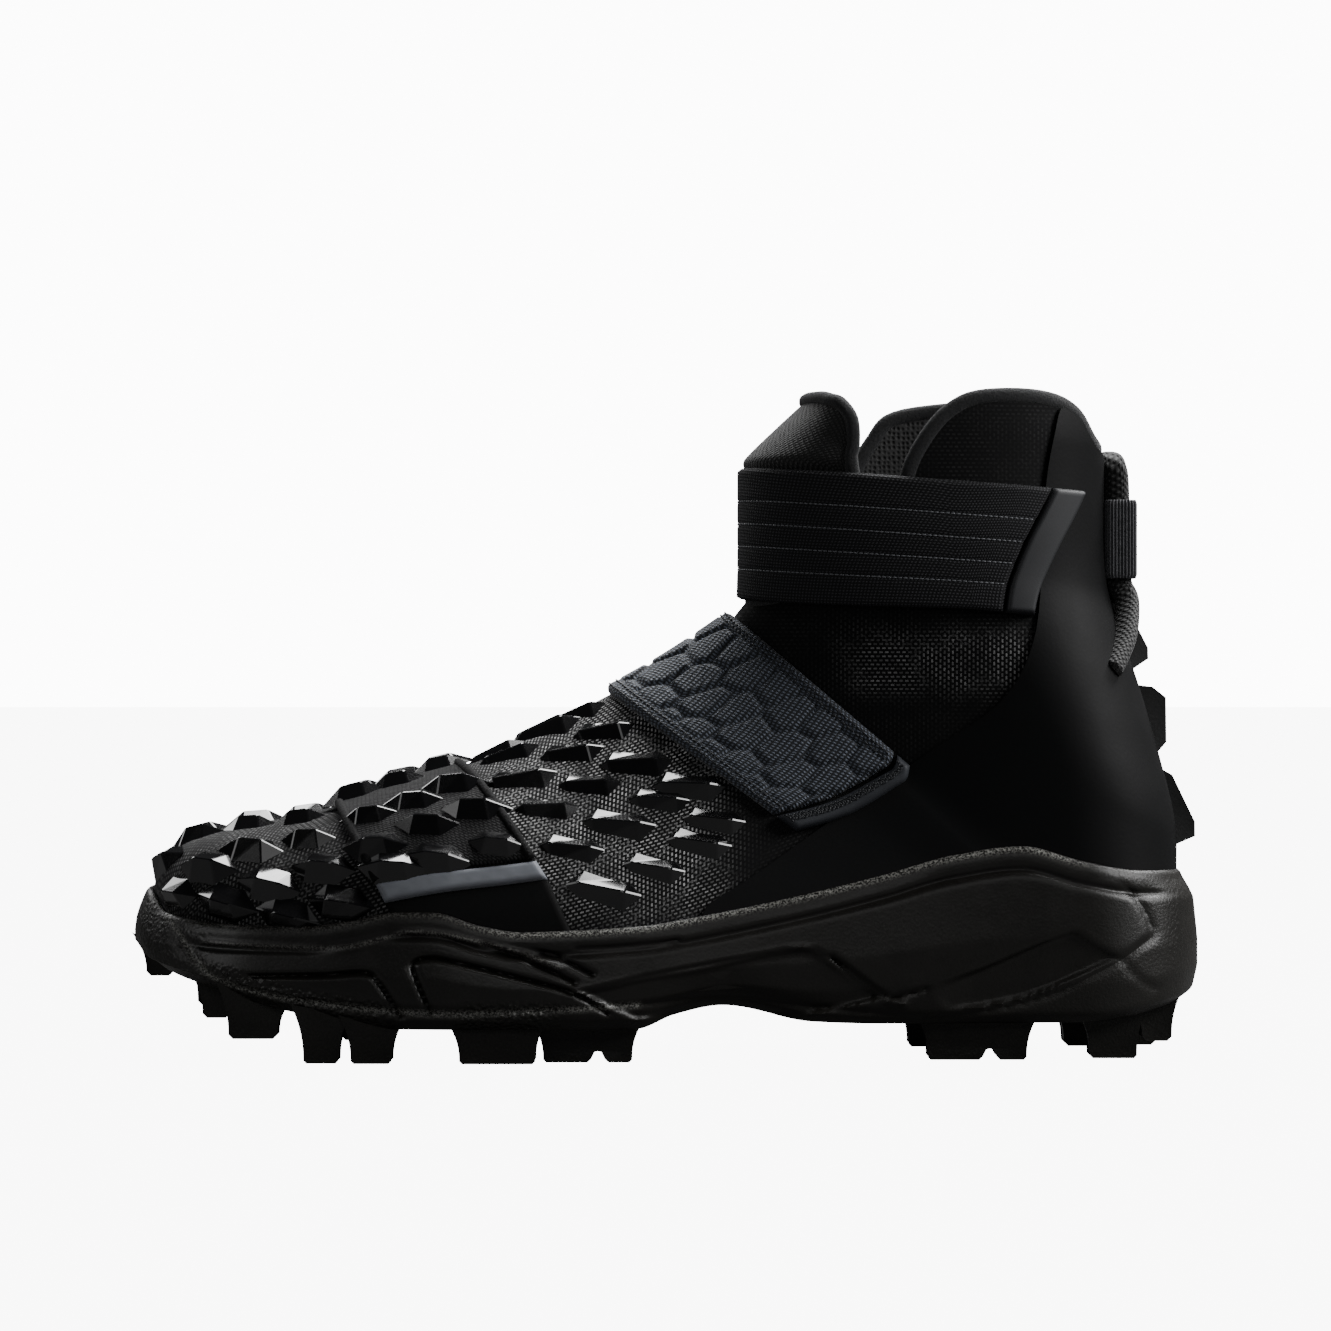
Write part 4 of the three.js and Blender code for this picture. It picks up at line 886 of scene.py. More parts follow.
# %% Rubber and foam of the sole
def rubber(name, dark, light, roughness, grain, pebble):
    """Moulded rubber: a fine grain, pebbles where the mesh asks, and a painted highlight on its marked edges."""
    made, tree, shader = finish(name)
    mm = place_in_mm(tree)
    dust = node(tree, "ShaderNodeTexNoise", {"Vector": mm, "Scale": 0.1, "Detail": 6.0, "Roughness": 0.65})
    colour = node(
        tree, "ShaderNodeMix",
        {"Factor": dust.outputs[0], DARK: paint(dark), LIGHT: paint(light)},
        data_type="RGBA",
    )
    specks = node(tree, "ShaderNodeTexNoise", {"Vector": mm, "Scale": 1.9, "Detail": 2.0})
    speck = node(
        tree, "ShaderNodeMapRange", {"Value": specks.outputs[0], "From Min": 0.42, "From Max": 0.66}
    )
    # Painted highlight: on the edges that the mesh marks, grainy specks lift the colour to pale grey in place of
    # light caught by the grain
    edge = node(tree, "ShaderNodeAttribute", attribute_name="edge")
    painted_edge_highlight = node(
        tree, "ShaderNodeMath", {0: speck.outputs[0], 1: edge.outputs["Fac"]}, operation="MULTIPLY"
    )
    dust_and_painted_highlight = node(
        tree, "ShaderNodeMix",
        {"Factor": painted_edge_highlight.outputs[0], DARK: colour.outputs[MIXED], LIGHT: paint("#a2a29c")},
        data_type="RGBA",
    )
    tree.links.new(dust_and_painted_highlight.outputs[MIXED], shader.inputs["Base Color"])
    fine = node(tree, "ShaderNodeTexNoise", {"Vector": mm, "Scale": 1.3, "Detail": 3.0})
    cells = node(tree, "ShaderNodeTexVoronoi", {"Vector": mm, "Scale": 0.85}, feature="SMOOTH_F1")
    where = node(tree, "ShaderNodeAttribute", attribute_name="pebble")
    pebbles = node(
        tree, "ShaderNodeMath", {0: cells.outputs["Distance"], 1: where.outputs["Fac"]}, operation="MULTIPLY"
    )
    low = node(
        tree, "ShaderNodeBump", {"Height": fine.outputs[0], "Distance": grain * MM, "Strength": 0.7}
    )
    high = node(
        tree, "ShaderNodeBump",
        {"Height": pebbles.outputs[0], "Distance": pebble * MM, "Normal": low.outputs[0]},
        invert=True,
    )
    tree.links.new(high.outputs[0], shader.inputs["Normal"])
    rough = node(
        tree, "ShaderNodeMapRange",
        {"Value": dust.outputs[0], "To Min": roughness - 0.06, "To Max": roughness + 0.1},
    )
    tree.links.new(rough.outputs[0], shader.inputs["Roughness"])
    shader.inputs["IOR"].default_value = 1.5
    return made


# Rubber from a blasted steel mould: satin, with a warm dust in its grain and a painted pale highlight on its edges.
outsole_rubber = rubber("moulded rubber", "#12110f", "#1f1d19", 0.42, 0.22, 0.9)
# The skin of moulded EVA foam is a little smoother and blacker than the rubber under it.
midsole_foam = rubber("moulded EVA foam skin", "#0f0e0c", "#1a1815", 0.36, 0.1, 0.9)
# The small fins are injected against a fine mould, so they are even and satin.
fin_rubber = rubber("satin injected rubber", "#101010", "#1b1b1b", 0.42, 0.08, 0.5)
print("finishes:", len(bpy.data.materials))

# %% [markdown]
# ## The knitted upper
# The real upper is one knitted bootie, steamed on a last, with an open throat and a padded collar. A foot
# form skinned with a fine net gives the same smooth surface. The net is cut along the collar line, which is
# lower on the inner side, and thickened inwards, so that the lining is its own face.

# %% Collar and throat lines
OUTER_COLLAR = [
    [0.575, 0.692], [0.615, 0.703], [0.688, 0.75], [0.718, 0.82], [0.722, 0.884], [0.742, 0.944],
    [0.765, 0.98], [0.793, 0.995], [0.845, 0.995], [0.879, 0.975], [0.901, 0.927], [0.93, 0.9],
]
INNER_SHIFT = 0.045
INNER_COLLAR = [[s - INNER_SHIFT if 2 <= i <= 6 else s, h] for i, (s, h) in enumerate(OUTER_COLLAR)]


def throat_outline(collar):
    """The open throat and all above the collar, as a closed side outline."""
    line = smooth_line(sideways(collar), 60)
    above = 1.4 * COLLAR_HEIGHT
    ends = [[along(1.2), line[-1, 1]], [along(1.2), above], [along(0.3), above], [along(0.3), line[0, 1]]]
    return np.vstack([line, ends])


OUTER_THROAT = throat_outline(OUTER_COLLAR)
INNER_THROAT = throat_outline(INNER_COLLAR)


def in_throat(points):
    """Distance into the open throat, below zero on the knit."""
    x, y, z = points[..., 0], points[..., 1], points[..., 2]
    return np.where(y < 0, beside(OUTER_THROAT, x, z), beside(INNER_THROAT, x, z))


FOOTBED = curve(
    [0, 0.04, 0.107, 0.189, 0.303, 0.434, 0.566, 0.697, 0.828, 1],
    [0.1925, 0.1765, 0.15, 0.1257, 0.1096, 0.107, 0.1176, 0.1364, 0.147, 0.15],
)


def share_of(x):
    """The share of the shoe's length at an x."""
    return np.asarray(x) / LENGTH + 0.5


def footbed(x):
    """The height that the upper stands on."""
    return up(FOOTBED(share_of(x)))


print("throat line:", len(OUTER_THROAT), "points")

# %% The knit shell
def painted_glint_of(points):
    """How much painted glint the knit gets: most in the middle of the side, some on the toe, and a painted highlight
    band under the ankle.
    """
    share, height = share_of(points[:, 0]), points[:, 2]
    middle = soft((share - 0.31) / 0.05) * soft((0.575 - share) / 0.06) * soft((height - 30) / 25)
    # A painted highlight band across the knit, about 112 mm high, behind the instep strap
    ankle_highlight_band = soft((share - 0.64) / 0.06) * soft((0.86 - share) / 0.05) * soft(1.4 - np.abs(height - 112) / 9)
    toe = 0.22 * soft((0.36 - share) / 0.05)
    return np.clip(0.03 + 0.97 * middle + 0.42 * ankle_highlight_band + toe, 0, 1)


def knit_run(places, turns):
    """Millimetres along and round the knit, level and upright at the ankle."""
    grid_place, grid_turn = np.meshgrid(places, turns, indexing="ij")
    points = skin(grid_place, grid_turn)
    ahead = np.linalg.norm(np.diff(points, axis=0), axis=-1)
    ahead = np.vstack([0 * ahead[:1], ahead]).cumsum(axis=0)
    around = np.linalg.norm(np.diff(points, axis=1), axis=-1)
    around = np.column_stack([0 * around[:, :1], around]).cumsum(axis=1)
    around = around - around[:, np.abs(turns - 0.5).argmin()][:, None]
    ankle = soft((grid_place - 10.4) / 1.2)
    u = ahead + (points[..., 0] - ahead) * ankle
    v = around + (points[..., 2] - around) * ankle
    return np.column_stack([u.ravel(), v.ravel()])


KNIT_PLACES = np.linspace(0.02, LAST, 190)
KNIT_TURNS = np.linspace(0, 1, 170, endpoint=False)
rows, faces = net(KNIT_PLACES, KNIT_TURNS, wrapped=True)
rows[:, 3:5] = knit_run(KNIT_PLACES, KNIT_TURNS)
rows, faces = trim(rows, faces, rows[:, 2] - footbed(rows[:, 0]) - GAP)
rows, faces = trim(rows, faces, -in_throat(rows))
# Each knot of the knit carries how much painted glint it gets
rows = np.column_stack([rows, painted_glint_of(rows)])
upper = make("knit_upper", rows, faces, knit, lining, marks=("glint",))
ANKLE_FROM = 0.03  # metres, as below
FOOT_MIDDLE = Vector((heart(8.0)[0] * MM, 0.0012, 0.05))


def ankle_axis(spot, x=0.075):
    """The point on the ankle's upright axis that is level with a spot."""
    return Vector((x, 0.0012, min(spot.z, 0.17)))


outward(upper, lambda spot: FOOT_MIDDLE if spot.x < ANKLE_FROM else ankle_axis(spot))
thicken(upper, WALL, inner_slot=1)
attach(upper, "root")
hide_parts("upper")
print("upper faces", len(upper.data.polygons))

# %% [markdown]
# ## Collar binding
# A knitted tape is folded over the raw edge of the collar and sewn down. A tube of oval section swept along
# the cut line does that: its path is the collar line laid on the skin, from the throat round the heel.

# %% Binding along the collar
def collar_path(throat_line, outer):
    """The collar line on one side, from the throat to the middle of the heel, with its normals."""
    ends = throat_line[:60]
    spots = np.linspace(0, 59, 900)
    fine = np.column_stack([np.interp(spots, np.arange(60), ends[:, k]) for k in (0, 1)])
    held, _, _ = inside(fine[:, 0], 0.0, fine[:, 1])
    fine = fine[held]
    place, turn = from_side(fine[:, 0], fine[:, 1], outer)
    return over(place, turn, -0.5 * WALL), facing(place, turn)


outer_path, outer_face = collar_path(OUTER_THROAT, True)
inner_path, inner_face = collar_path(INNER_THROAT, False)
path = np.vstack([outer_path, inner_path[::-1]])
face = np.vstack([outer_face, inner_face[::-1]])
run = np.concatenate([[0], np.linalg.norm(np.diff(path, axis=0), axis=1).cumsum()])
spots = np.linspace(0, run[-1], 240)
path = np.column_stack([np.interp(spots, run, path[:, k]) for k in range(3)])
face = np.column_stack([np.interp(spots, run, face[:, k]) for k in range(3)])
BINDING_HALF = 2.3
BINDING_THICK = 1.75
rows, faces = sweep(path, BINDING_HALF, BINDING_THICK, sides=16, hint=face, power=2.4)
collar_binding = make("collar_binding", rows, faces, binding)
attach(collar_binding, "root")
print("collar line", round(float(run[-1])), "mm long")

# %% [markdown]
# ## Helpers for Geometry Nodes
# Facets, stitches and cords repeat by the dozen. A Geometry Nodes tree says once how one is placed, and its
# named inputs keep the sizes in sight. Each tree ends in Realize Instances and Set Material, and its result
# is then kept as a plain mesh, which any other program can read.

# %% A tree with named inputs, and its result as a plain mesh
def new_tree(name, **sockets):
    """A Geometry Nodes tree with a geometry input and the given input types."""
    tree = bpy.data.node_groups.new(name, "GeometryNodeTree")
    tree.interface.new_socket("Geometry", in_out="INPUT", socket_type="NodeSocketGeometry")
    for title, kind in sockets.items():
        tree.interface.new_socket(title, in_out="INPUT", socket_type=kind)
    tree.interface.new_socket("Geometry", in_out="OUTPUT", socket_type="NodeSocketGeometry")
    return tree, node(tree, "NodeGroupInput"), node(tree, "NodeGroupOutput")


def grown(piece, tree, **values):
    """Runs the tree on a piece with its inputs set, and keeps the mesh it makes."""
    growth = piece.modifiers.new(tree.name, "NODES")
    growth.node_group = tree
    for item in tree.interface.items_tree:
        if item.in_out == "INPUT" and item.name in values:
            growth[item.identifier] = values[item.name]
    return settle(piece)


# %% [markdown]
# ## Facets of the forefoot
# Small crystals of glossy plastic are moulded on the knit in staggered rows. They stand where the
# photograph shows them on the outer side, and mirrored on the inner side. Each seat is found on the skin,
# with the way it faces and the way it points. Geometry Nodes then sets one low crystal on every seat. Two
# shapes are enough: tall ones with a ridge at the toe, flat slanted ones further back.

# %% Facet seats, read off the outer side as seen in the photograph
PIXEL = 0.28665  # millimetres at the middle of the shoe
MIDDLE = 665.5  # the photograph's middle row and column
TOE_FACETS = [
    (166, 862), (176, 893), (198, 833), (208, 866), (226, 903), (250, 826), (252, 849), (270, 885),
    (288, 916), (300, 820), (308, 839), (323, 868), (340, 903),
]
STRAP_FACETS = [
    (357, 803), (372, 822), (378, 850), (395, 870), (400, 790), (415, 808), (428, 829), (437, 862),
    (442, 771), (455, 792), (475, 814), (497, 848),
]
SIDE_FACETS = [
    (497, 738), (510, 754), (522, 778), (548, 808), (573, 848), (605, 890), (545, 711), (548, 729),
    (572, 752), (590, 784), (620, 824), (655, 868), (579, 706), (604, 730), (637, 763), (660, 800),
    (700, 843), (690, 786), (715, 820),
]


FIRST_DEPTH = -35.0
TWINS_APART = 13


def seats_of(pixels):
    """Place and turn on the outer skin of each spot, then of its mirror image where that stays clear."""
    pixels = np.array(pixels, float)
    depth = np.full(len(pixels), FIRST_DEPTH)
    for _ in range(4):
        scale = PIXEL * (CAMERA_DISTANCE + depth) / CAMERA_DISTANCE
        x = (pixels[:, 0] - MIDDLE) * scale - SHIFT[0]
        z = CAMERA_HEIGHT + (MIDDLE - pixels[:, 1]) * scale
        held, _, _ = inside(x, 0.0, z)
        while not held.all():
            z = np.where(held, z, z - 1.0)
            held, _, _ = inside(x, 0.0, z)
        place, turn = from_side(x, z)
        depth = skin(place, turn)[:, 1] + SHIFT[1]
    apart = np.linalg.norm(skin(place, turn) - skin(place, 1 - turn), axis=1)
    twin = apart > TWINS_APART
    return np.concatenate([place, place[twin]]), np.concatenate([turn, 1 - turn[twin]])


def seat_piece(name, pixels, lift, tilt, size):
    """A mesh of one point per facet, which carries its normal, its long axis and its size."""
    place, turn = seats_of(pixels)
    normal = facing(place, turn)
    before, after = np.maximum(place - 0.1, 0), np.minimum(place + 0.1, LAST)
    forward = unit(skin(after, turn) - skin(before, turn))
    down = unit(np.cross(forward, normal))
    side = np.where(turn < 0.5, -1.0, 1.0)
    down = down * np.where(down[:, 1] * side < 0, -1, 1)[:, None]
    axis = unit(forward + down * tilt)
    mesh = bpy.data.meshes.new(name)
    mesh.from_pydata(((over(place, turn, 0 * place + lift) + SHIFT) * MM).tolist(), [], [])
    grow = 0.94 + 0.1 * np.sin(place * 7.0 + turn * 40.0)
    for title, values in (("normal_dir", normal), ("axis_dir", axis), ("size", np.outer(grow, size))):
        field = mesh.attributes.new(title, "FLOAT_VECTOR", "POINT")
        field.data.foreach_set("vector", values.astype(np.float32).ravel())
    piece = bpy.data.objects.new(name, mesh)
    bpy.context.scene.collection.objects.link(piece)
    return piece


# %% Two crystal shapes
FACET_HALF = 8.0
FACET_SIDE = 4.2
FACET_RISE = 3.4
FACET_SINK = 1.0
FACET_EDGE = 0.22


def crystal(name, base, top):
    """A closed low crystal between a base outline and a top, with its edges broken."""
    built = bmesh.new()
    low = [built.verts.new((x * MM, y * MM, -FACET_SINK * MM)) for x, y in base]
    high = [built.verts.new((x * MM, y * MM, z * MM)) for x, y, z in top]
    built.faces.new(low[::-1])
    left, right = high
    for a, b in ((0, 1), (5, 0), (4, 5)):
        built.faces.new((low[a], low[b], left))
    for a, b in ((1, 2), (2, 3), (3, 4)):
        built.faces.new((low[a], low[b], right))
    built.faces.new((low[1], right, left))
    built.faces.new((low[4], left, right))
    bmesh.ops.bevel(built, geom=list(built.edges), offset=FACET_EDGE * MM, segments=1, affect="EDGES")
    bmesh.ops.recalc_face_normals(built, faces=list(built.faces))
    mesh = bpy.data.meshes.new(name)
    built.to_mesh(mesh)
    built.free()
    made = bpy.data.objects.new(name, mesh)
    bpy.context.scene.collection.objects.link(made)
    return made


L, W, H = FACET_HALF, FACET_SIDE, FACET_RISE
tall = crystal(
    "tall_crystal",
    [(-L, 0), (-0.42 * L, -W), (0.42 * L, -W), (L, 0), (0.42 * L, W), (-0.42 * L, W)],
    [(-0.28 * L, 0, H), (0.3 * L, 0, 0.92 * H)],
)
flat = crystal(
    "flat_crystal",
    [(-L, -0.35 * W), (-0.5 * L, -W), (0.55 * L, -W), (L, 0.35 * W), (0.5 * L, W), (-0.55 * L, W)],
    [(-0.66 * L, -0.12 * W, 0.42 * H), (0.42 * L, 0.05 * W, 0.62 * H)],
)
print("crystals:", len(tall.data.polygons), "and", len(flat.data.polygons), "faces")

# %% The tree that sets a crystal on each seat
facet_tree, given, result = new_tree(
    "set_facets", Crystal="NodeSocketObject", Finish="NodeSocketMaterial", Size="NodeSocketFloat"
)
one = node(facet_tree, "GeometryNodeObjectInfo", {"Object": given.outputs["Crystal"]})
normal_dir, axis_dir, size = (
    node(
        facet_tree, "GeometryNodeInputNamedAttribute", {"Name": title}, data_type="FLOAT_VECTOR"
    ).outputs["Attribute"]
    for title in ("normal_dir", "axis_dir", "size")
)
upright = node(facet_tree, "FunctionNodeAlignRotationToVector", {"Vector": normal_dir}, axis="Z")
aimed = node(
    facet_tree, "FunctionNodeAlignRotationToVector",
    {"Rotation": upright.outputs[0], "Vector": axis_dir},
    axis="X", pivot_axis="Z",
)
scaled = node(
    facet_tree, "ShaderNodeVectorMath", {0: size, "Scale": given.outputs["Size"]}, operation="SCALE"
)
set_on = node(
    facet_tree, "GeometryNodeInstanceOnPoints",
    {"Points": given.outputs["Geometry"], "Instance": one.outputs["Geometry"],
     "Rotation": aimed.outputs[0], "Scale": scaled.outputs[0]},
)
real = node(facet_tree, "GeometryNodeRealizeInstances", {"Geometry": set_on.outputs[0]})
dressed = node(
    facet_tree, "GeometryNodeSetMaterial",
    {"Geometry": real.outputs[0], "Material": given.outputs["Finish"]},
)
facet_tree.links.new(dressed.outputs[0], result.inputs[0])
print("facet tree:", len(facet_tree.nodes), "nodes")

# %% Facets on the toe, the forefoot strap and the side
FOREFOOT_THICKNESS = 2.2
FOREFOOT_LIFT = GAP + FOREFOOT_THICKNESS
for name, pixels, lift, tilt, size, shape in (
    ("toe_facets", TOE_FACETS, 0.0, 0.15, (1.42, 1.35, 1.2), tall),
    ("strap_facets", STRAP_FACETS, FOREFOOT_LIFT, 0.2, (1.4, 1.3, 1.1), tall),
    ("side_facets", SIDE_FACETS, 0.0, 0.42, (1.5, 1.35, 1.25), flat),
):
    seat = seat_piece(name, pixels, lift, tilt, size)
    facets = grown(seat, facet_tree, Crystal=shape, Finish=facet, Size=1.0)
    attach(facets, "root")
    print(name, len(facets.data.polygons), "faces")
bpy.data.objects.remove(tall)
bpy.data.objects.remove(flat)

# %% [markdown]
# ## The heel quarter
# A smooth satin film is welded over the knit round the heel, from the arch up to the collar. It is a second
# net a film's thickness above the knit, cut along its own front line, the collar and the sole.

# %% Quarter film
QUARTER_FRONT = [
    [0.536, 0.236], [0.586, 0.287], [0.67, 0.383], [0.743, 0.465], [0.807, 0.54], [0.836, 0.63],
    [0.845, 0.75], [0.849, 0.871], [0.86, 0.965],
]
front = smooth_line(sideways(QUARTER_FRONT), 50)
top_line = smooth_line(sideways(OUTER_COLLAR[4:]), 40) - [0, 1.2]
top_line = top_line[top_line[:, 0] > front[-1, 0] + 1]
behind, under = along(1.05), up(0.18)
film_outline = np.vstack([
    front, top_line, [[behind, top_line[-1, 1]], [behind, under], [along(0.52), under]],
])
FILM_PLACES = np.linspace(7.6, 22.4, 190)
FILM_TURNS = np.linspace(0, 1, 150, endpoint=False)
FILM_ABOVE_BED = 4
rows, faces = net(FILM_PLACES, FILM_TURNS, GAP + FILM, wrapped=True)
rows, faces = trim(rows, faces, beside(film_outline, rows[:, 0], rows[:, 2]))
rows, faces = trim(rows, faces, rows[:, 2] - footbed(rows[:, 0]) - FILM_ABOVE_BED)
quarter = make("heel_quarter_film", rows, faces, film)
outward(quarter, lambda spot: ankle_axis(spot, 0.085))
thicken(quarter, FILM)
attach(quarter, "root")
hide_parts("heel_quarter")
print("film faces", len(quarter.data.polygons))

# %% [markdown]
# ## The tongue
# The tongue is a padded sheet behind the throat, whose tab stands above the ankle strap. It follows the same
# form, so its two faces are nets at two depths. The thickness swells in the middle and falls to nothing at
# the edges, as padding does, and a fuzzy tape binds the edge.

# %% Padded tongue
TONGUE_THICKNESS = 5.5
TONGUE_PLACES = (12.3, 22.4)
TONGUE_TURNS = (0.318, 0.682)
TAB_SWELL = 4.5
TAB = sideways([
    [0.45, 0.5], [0.45, 1.05], [0.595, 0.978], [0.618, 0.992], [0.645, 0.998], [0.668, 0.985], [0.677, 0.95],
    [0.679, 0.885], [0.704, 0.8], [0.704, 0.5],
])


def tongue_point(across, rise, offset):
    turn = TONGUE_TURNS[0] + (TONGUE_TURNS[1] - TONGUE_TURNS[0]) * across
    point = over(TONGUE_PLACES[0] + (TONGUE_PLACES[1] - TONGUE_PLACES[0]) * rise, turn, offset)
    bent = np.clip((point[..., 2] - up(0.885)) / (up(1.02) - up(0.885)), 0, 1)
    point[..., 0] += (along(0.674) - point[..., 0]) * 0.68 * bent**1.15
    return point


print("tab outline:", len(TAB), "points")

# %% How high and how wide the tongue is
TAB_ROWS = 120
TAB_COLUMNS = 56
rise = np.linspace(0.02, 1, 400)[:, None] * np.ones((1, 41))
across = np.ones((400, 1)) * np.linspace(0, 1, 41)[None]
seen_x, _, seen_z = np.moveaxis(tongue_point(across, rise, 0 * rise), -1, 0)
kept = beside(TAB, seen_x, seen_z) > 0.6
TAB_SIDE = np.vstack([TAB[:1], [[along(0.45), up(1.15)], [along(0.677), up(1.15)]], TAB[6:]])
within = beside(TAB_SIDE, seen_x, seen_z) > 0.6
tops = np.array([rise[kept[:, k], k].max() if kept[:, k].any() else 0.9 for k in range(41)])
centre_top = tops[20]
levels = np.linspace(0.02, centre_top, TAB_ROWS)
half_width = np.array([
    max((abs(a - 0.5) for a, held in zip(across[0], row) if held), default=0.05)
    for row in (within[np.abs(rise[:, 0] - level).argmin()] for level in levels)
])
half_width = np.convolve(np.pad(half_width, 5, mode="edge"), np.ones(11) / 11, "valid")
spread = np.linspace(-1, 1, TAB_COLUMNS)
across = 0.5 + half_width[:, None] * spread[None]
tops = np.convolve(np.pad(tops, 1, mode="edge"), np.ones(3) / 3, "valid")
rise = levels[:, None] / centre_top * np.interp(across, np.linspace(0, 1, 41), tops)
print("tongue is", TAB_ROWS, "by", TAB_COLUMNS, "knots")

# %% Padding between its two faces
fullness = (1 - np.abs(spread[None]) ** 4) ** 0.5
fullness = fullness * np.clip((centre_top - levels[:, None]) / 0.02, 0, 1) ** 0.5
on_form = tongue_point(across, rise, 0 * rise)
outer_depth = -0.5 - 2.5 * soft((3 - in_throat(on_form)) / 3)
above_strap = soft((on_form[..., 2] - up(0.88)) / 5)
outer_depth = outer_depth + TAB_SWELL * above_strap * np.cos(np.pi / 2 * spread[None]) ** 0.5
swell = 0.5 + (TONGUE_THICKNESS - 1.3) * fullness
outer = tongue_point(across, rise, outer_depth - 0.7 * (1 - fullness))
inner = tongue_point(across, rise, outer_depth - 0.7 * (1 - fullness) - swell)
rows, faces = sheet(outer, inner, across)

# %% Tongue knit and the finished pad
# A ribbed knit is soft and matte, with slanted rows that catch a little light on top.
tongue_knit = woven(
    "ribbed polyester knit", "#080808", "#343434", 1.5, 1.2, 0.6, 2.0, 0.4,
    rotate=0.7, Roughness=0.75, Sheen_Weight=0.15,
)
tongue = make("tongue_pad", rows, faces, tongue_knit)
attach(tongue, "root")
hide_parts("tongue")
print("tongue tab top", (outer[-1, TAB_COLUMNS // 2]).round(1))

# %% Binding round the tab
middle = (outer + inner) / 2
edge = np.vstack([middle[40:-4:5, 0], middle[-1, 1:-1:4], middle[-6:40:-5, -1]])
path = smooth_line(edge, 240)
hint = unit(path - np.array([along(0.66), 0, 0]) * [1, 0, 0] - path * [0, 0, 1])
rows, faces = sweep(path, 2.0, 2.3, sides=14, hint=hint, power=2.4)
tongue_binding = make("tongue_binding", rows, faces, binding)
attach(tongue_binding, "root")
print("tab binding", len(path), "rings")

# %% [markdown]
# ## Straps
# Three straps close the shoe with hook and loop tape, each with a smooth grey tape at its end to pull on.
# The straps are laid on the form: rows run round the foot, columns run across the strap. Their outer face is
# moved by a height that depends on the place in the strap. That gives rolled edges, selvedges and the
# quilting of the instep strap in one go.

# %% Laying a strap on the form
def lay(middle, width, widen, start, end, rounds, acrosses, drift=0.0):
    """Place and turn over a strap, with millimetres round and across it.

    Its ends are as much wider as widen says. Drift leads the outer end towards the heel.
    """
    share, across = np.meshgrid(np.linspace(0, 1, rounds), np.linspace(0, 1, acrosses), indexing="ij")
    first = start[0] + (start[1] - start[0]) * across
    last = end[0] + (end[1] - end[0]) * across
    turn = first + (last - first) * share
    lean = np.minimum(np.abs(turn - 0.5) / 0.2, 1)
    half = width / 2 * (1 + (widen - 1) * lean)
    place = walk(middle, turn, np.where(turn < 0.5, drift * lean, 0) + half * (2 * across - 1))
    points = skin(place, turn)
    girth = np.linalg.norm(np.diff(points, axis=0), axis=-1)
    girth = np.vstack([np.zeros((1, acrosses)), girth]).cumsum(axis=0)
    return place, turn, girth, half * (2 * across - 1), half


def rolled(girth, cross, half, roll=1.3):
    """1 inside a strap, falling in a quarter round to its edges."""
    edge = np.minimum.reduce([half - np.abs(cross), girth, girth[-1:] - girth])
    return np.sqrt(np.clip(1 - (1 - np.clip(edge / roll, 0, 1)) ** 2, 0, 1))


def strap_piece(name, place, turn, height, low, material, replaced):
    outer, inner = over(place, turn, height), over(place, turn, low + 0 * height)
    rows, faces = sheet(outer, inner, turn)
    piece = make(name, rows, faces, material)
    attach(piece, "root")
    if replaced:
        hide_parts(replaced)
    return piece


TAPE_SLIT = 0.0022
HEM_STEP = 0.5
UNDER = -0.4
FOREFOOT_STRAP = dict(middle=7, width=36, widen=1.3, drift=8.0)
INSTEP_STRAP = dict(middle=11.15, width=44.5, widen=0.95)
ANKLE_STRAP = dict(middle=18.5, width=38, widen=1)

# %% Forefoot strap: the knit band that carries the crystals
place, turn, girth, cross, half = lay(
    **FOREFOOT_STRAP, start=(0.313, 0.323), end=(0.715, 0.715), rounds=150, acrosses=44
)
height = GAP + FOREFOOT_THICKNESS * (0.45 + 0.55 * rolled(girth, cross, half))
# A tight knit is matte and close, so the strap is darker than the open knit beside it.
dark_knit, tree, shader = finish("tight polyester knit")
mm = run_in_mm(tree, rotate=0.6)
loops = node(
    tree, "ShaderNodeTexBrick",
    {"Vector": mm, "Scale": 1.0, "Brick Width": 1.5, "Row Height": 0.9, "Mortar Size": 0.3,
     "Mortar Smooth": 0.6, "Color1": (1, 1, 1, 1), "Color2": (0.4, 0.4, 0.4, 1), "Mortar": (0, 0, 0, 1)},
    offset=0.5,
)
colour = node(
    tree, "ShaderNodeMix",
    {"Factor": loops.outputs[0], DARK: paint("#060607"), LIGHT: paint("#2f2f30")},
    data_type="RGBA",
)
tree.links.new(colour.outputs[MIXED], shader.inputs["Base Color"])
bump = node(tree, "ShaderNodeBump", {"Height": loops.outputs[0], "Distance": 0.3 * MM})
tree.links.new(bump.outputs[0], shader.inputs["Normal"])
set_surface(shader, Roughness=0.7, Specular_IOR_Level=0.2)
strap_piece("forefoot_strap_band", place, turn, height, UNDER, dark_knit, "forefoot_strap")
print("forefoot strap", round(float(girth[-1].mean())), "mm long")

# %% Forefoot strap: cords along its edges
CORD_HALF = 1.35
CORD_THICK = 1.1
# A knitted cord is round and fuzzy: it draws a dark soft line along each edge.
cord_knit = mottled(
    "tubular knitted polyester cord", "#060606", "#19191a", 1.4, 4.0, fuzz=0.4,
    Roughness=0.8, Specular_IOR_Level=0.15,
)
cords = []
for column in (1, -2):
    path = over(place[:, column], turn[:, column], np.full(len(place), GAP + 1.9))
    face = facing(place[:, column], turn[:, column])
    cords.append(sweep(path, CORD_HALF, CORD_THICK, sides=10, hint=face))
rows, faces = join_rows(cords)
edge_cords = make("forefoot_strap_cords", rows, faces, cord_knit)
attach(edge_cords, "root")
print("edge cords", len(cords))

